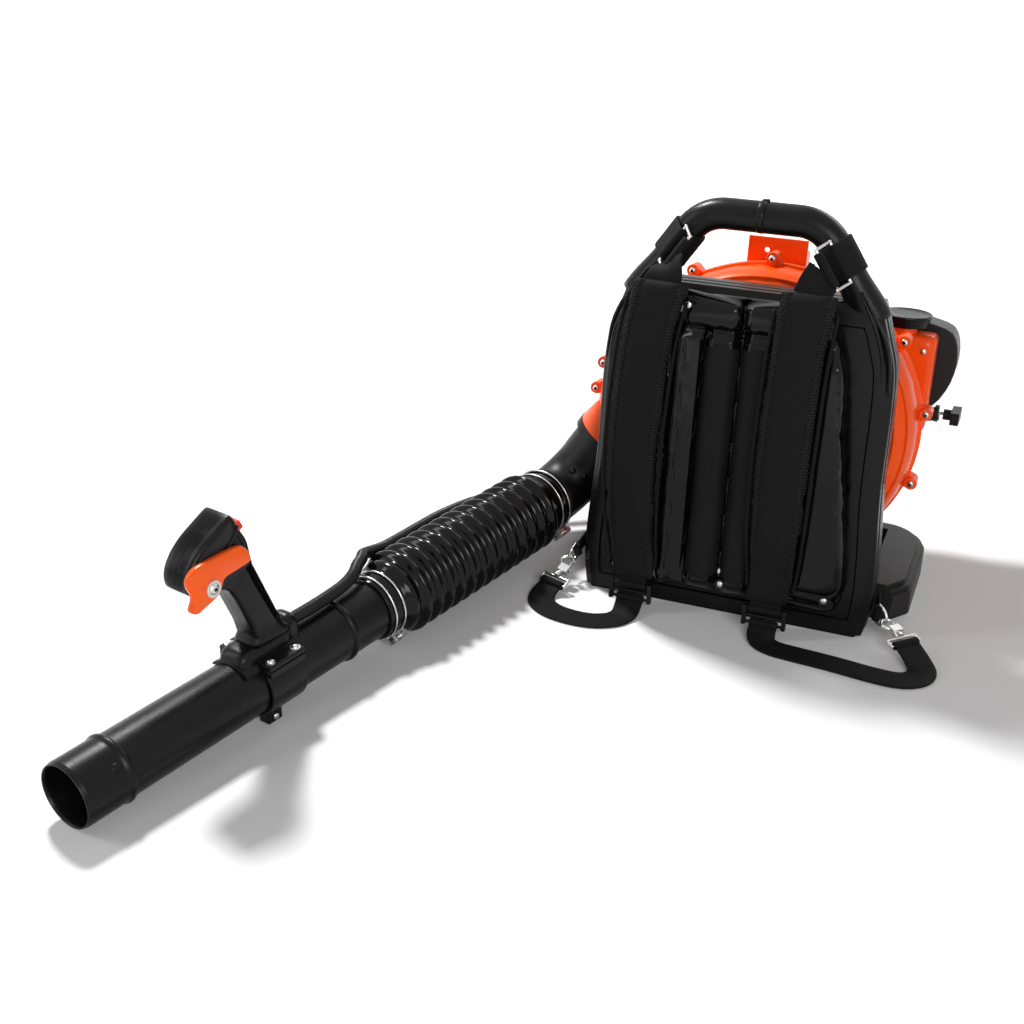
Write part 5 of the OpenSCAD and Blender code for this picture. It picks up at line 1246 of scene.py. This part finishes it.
for y, mid, reach, half in ((0.0800, 0.0001, 0.0172, 0.0166), (0.0740, -0.0022, 0.0178, 0.0169),
                            (0.0680, -0.0048, 0.0190, 0.0174), (0.0620, -0.0076, 0.0212, 0.0183),
                            (0.0570, -0.0100, 0.0248, 0.0194), (0.0540, -0.0108, 0.0282, 0.0201),
                            (0.0500, -0.0108, 0.0300, 0.0203)):
    rings.append([onHandle(half * bent(math.cos(a), 0.55), y, mid + reach * bent(math.sin(a), 0.6))
                  for a in turns(48)])
handlePieces.append(loft("gripSkirt", rings, "black_plastic"))
band = softEdges(copyOfNode("handle_band", "gripBand", "black_plastic", 30), 0.0014, 28, 2)
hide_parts("handle_saddle")
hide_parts("handle_band")
handlePieces.append(band)
bandScrews = []
for x in (-0.031, 0.031):
    for z in (-0.026, 0.010):
        bandScrews.append((onHandle(x, 0.0355, z), tubeY, blowOn))
handlePieces.append(scatter("bandWashers", "disc", bandScrews, "zinc_steel", 0.0056, 0.0012))
handlePieces.append(scatter("bandScrewHeads", "bead", [(p + tubeY * 0.0004, n, u) for p, n, u in bandScrews],
                            "zinc_steel", 0.0044, stretch=(1, 1, 0.7)))
clampScrew = scatter("bandLockScrew", "bead", [(onHandle(0.0290, -0.034, 0.008), tubeX, blowOn)], "zinc_steel",
                     0.0040, stretch=(1, 1, 0.6))
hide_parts("handle_screws")
handlePieces.append(clampScrew)
for piece in handlePieces:
    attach(piece, "blow_tube")
button = softEdges(copyOfNode("stop_button", "stopKey", "button_red", 30), 0.0016, 30, 3)
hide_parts("stop_button")
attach(button, "stop_switch")
print("control handle")

# mechanical covers
softened = {  # node: (piece, slot, edge radius, sharp angle)
    "frame_base": ("baseShelf", "grey_plastic", 0.0020, 30),
    "air_filter_cover": ("filterCover", "grey_plastic", 0, 34),
    "fuel_tank": ("fuelTank", "orange_plastic", 0.0014, 34), "muffler_guard": ("mufflerGuard", "black_plastic",
            0.0008, 30),
    "starter_housing": ("starterHousing", "grey_plastic", 0.0016, 32),
    "starter_grip": ("pullGrip", "black_rubber", 0.0032, 30),
    "filter_knob": ("coverKnob", "black_plastic", 0.0016, 30),
    "slide_buckles": ("slideBuckles", "black_plastic", 0.0009, 30),
    "choke_lever": ("chokeLever", "black_plastic", 0.0008, 30), "plug_boot": ("plugBoot", "black_rubber",
            0.0012, 30),
    "inlet_guard": ("inletGuard", "black_plastic", 0.0006, 30),
    "rubber_mounts": ("rubberMounts", "black_rubber", 0.0016, 30),
}
bodyOfNode = {n: b for b, names in frame["record"]["behaviour"]["bodies"].items() for n in names}
for nodeName, (pieceName, slotName, radius, sharp) in softened.items():
    piece = copyOfNode(nodeName, pieceName, slotName, sharp)
    if radius:
        softEdges(piece, radius, sharp, 2)
    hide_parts(nodeName)
    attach(piece, bodyOfNode[nodeName])

coverFront = min(unlean(v.co).y for v in nodes["air_filter_cover"].data.vertices)
plateRim = [unlean(v.co) for v in nodes["carburettor"].data.vertices]
plateRim = [q for q in plateRim if abs(q.y - coverFront + 0.003) < 0.0009]
middle = sum(plateRim, Vector()) / len(plateRim)
plateRim.sort(key=lambda q: math.atan2(q.z - middle.z, q.x - middle.x))
rings = []
# gasket over the filter's back plate
for back, out in ((-0.0008, -0.0012), (-0.0008, 0.0), (-0.0003, 0.0006), (0.0024, 0.0006), (0.0024, -0.0040)):
    rings.append([leaning(q.x + out * (q - middle).normalized().x, coverFront - 0.003 + back,
                          q.z + out * (q - middle).normalized().z) for q in plateRim])
gasket = loft("filterGasket", rings, "grey_plastic", sharp=50)
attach(gasket, "backpack")

tankLugs = scatter("tankScrewHeads", "bead", [
    (leaning(0.012 + x, 0.193 + 0.0035, 0.205 + z), leanDir(0, -1, 0), leanDir(0, 0, 1))
    for x, z in ((0.168, 0.104), (0.170, 0.020))
], "zinc_steel", 0.0042, stretch=(1, 1, 0.6))
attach(tankLugs, "backpack")
print("covers and small parts")

# camera, floor and lights
camera = {"at": (0.328, -1.644, 0.864), "yaw": -21.7, "pitch": 25.6, "roll": -0.7, "focal": 1421.0,
          "width": 1024}
yaw, pitch, roll = (math.radians(camera[k]) for k in ("yaw", "pitch", "roll"))
forward = Vector((math.sin(yaw) * math.cos(pitch), math.cos(yaw) * math.cos(pitch), -math.sin(pitch)))
level = Vector((math.cos(yaw), -math.sin(yaw), 0))
down = forward.cross(level)
right = level * math.cos(roll) + down * math.sin(roll)
down = -level * math.sin(roll) + down * math.cos(roll)
camData = bpy.data.cameras.new("studioCamera")
camData.sensor_width = 36
camData.lens = camera["focal"] / camera["width"] * 36
camData.clip_end = 50
camObject = added("studioCamera", camData)
turn = Matrix((right, -down, -forward)).transposed().to_4x4()
camObject.matrix_world = Matrix.Translation(camera["at"]) @ turn
bpy.context.scene.camera = camObject

studio = {"floorHalf": 30.0, "floorWhite": 0.85, "glowNear": 0.03, "glowFar": 1.0, "glowFrom": 0.75,
          "glowTo": 2.3, "worldLight": 0.15}


def seenByEye(tree):  # 1 for camera, glossy and transmission rays
    path = addNode(tree, "ShaderNodeLightPath")
    total = path.outputs["Is Camera Ray"]
    for other in ("Is Glossy Ray", "Is Transmission Ray"):
        add = addNode(tree, "ShaderNodeMath", operation="MAXIMUM")
        tree.links.new(total, add.inputs[0])
        tree.links.new(path.outputs[other], add.inputs[1])
        total = add.outputs[0]
    return total


def buildFloor():
    mesh = bpy.data.meshes.new("floor")
    h = studio["floorHalf"]
    mesh.from_pydata([(-h, -h, 0), (h, -h, 0), (h, h, 0), (-h, h, 0)], [], [(0, 1, 2, 3)])
    floor = added("floor", mesh)
    mat, tree, bsdf = newMaterial("paleFloor")
    tree.nodes.remove(bsdf)
    diffuse = addNode(tree, "ShaderNodeBsdfDiffuse")
    diffuse.inputs["Color"].default_value = (*grey(studio["floorWhite"]), 1)
    glow = addNode(tree, "ShaderNodeEmission")
    spot = addNode(tree, "ShaderNodeNewGeometry")
    reach = addNode(tree, "ShaderNodeVectorMath", operation="LENGTH")
    tree.links.new(spot.outputs["Position"], reach.inputs[0])
    rise = addNode(tree, "ShaderNodeMapRange", interpolation_type="SMOOTHSTEP")
    for socket, key in (("From Min", "glowFrom"), ("From Max", "glowTo"), ("To Min", "glowNear"),
                        ("To Max", "glowFar")):
        rise.inputs[socket].default_value = studio[key]
    tree.links.new(reach.outputs["Value"], rise.inputs["Value"])
    scale = addNode(tree, "ShaderNodeMath", operation="MULTIPLY")
    tree.links.new(rise.outputs["Result"], scale.inputs[1])
    tree.links.new(seenByEye(tree), scale.inputs[0])
    tree.links.new(scale.outputs[0], glow.inputs["Strength"])
    both = addNode(tree, "ShaderNodeAddShader")
    tree.links.new(diffuse.outputs[0], both.inputs[0])
    tree.links.new(glow.outputs[0], both.inputs[1])
    tree.links.new(both.outputs[0], tree.nodes["Material Output"].inputs["Surface"])
    mesh.materials.append(mat)


def buildWorld():
    world = bpy.data.worlds.new("studioWorld")
    world.use_nodes = True
    tree = world.node_tree
    background = tree.nodes["Background"]
    background.inputs["Color"].default_value = (1, 1, 1, 1)
    seen = seenByEye(tree)
    mix = addNode(tree, "ShaderNodeMapRange")
    mix.inputs["To Min"].default_value = studio["worldLight"]
    mix.inputs["To Max"].default_value = 1.0
    tree.links.new(seen, mix.inputs["Value"])
    tree.links.new(mix.outputs["Result"], background.inputs["Strength"])
    bpy.context.scene.world = world


lamps = {
    "highKey": {"at": (-1.75, 0.75, 2.75), "aim": (-0.1, -0.25, 0.1), "size": (0.40, 0.40), "power": 122},
    "backStrip": {"at": (0.9, 2.3, 1.7), "aim": (0, 0, 0.25), "size": (1.6, 0.5), "power": 16},
    "frontFill": {"at": (1.5, -2.6, 1.5), "aim": (0, 0, 0.25), "size": (1.5, 1.1), "power": 42},
    "leftStrip": {"at": (-2.1, -1.3, 1.2), "aim": (-0.2, -0.3, 0.2), "size": (0.30, 1.7), "power": 12},
}


def buildLamps():
    for lampName, lamp in lamps.items():
        data = bpy.data.lights.new(lampName, "AREA")
        data.shape = "RECTANGLE"
        data.size, data.size_y = lamp["size"]
        data.energy = lamp["power"]
        obj = added(lampName, data)
        obj.location = lamp["at"]
        obj.rotation_euler = (Vector(lamp["aim"]) - Vector(lamp["at"])).to_track_quat("-Z", "Y").to_euler()


buildFloor()
buildWorld()
buildLamps()
bpy.context.scene.view_settings.view_transform = "Standard"
print("camera, floor and lamps")
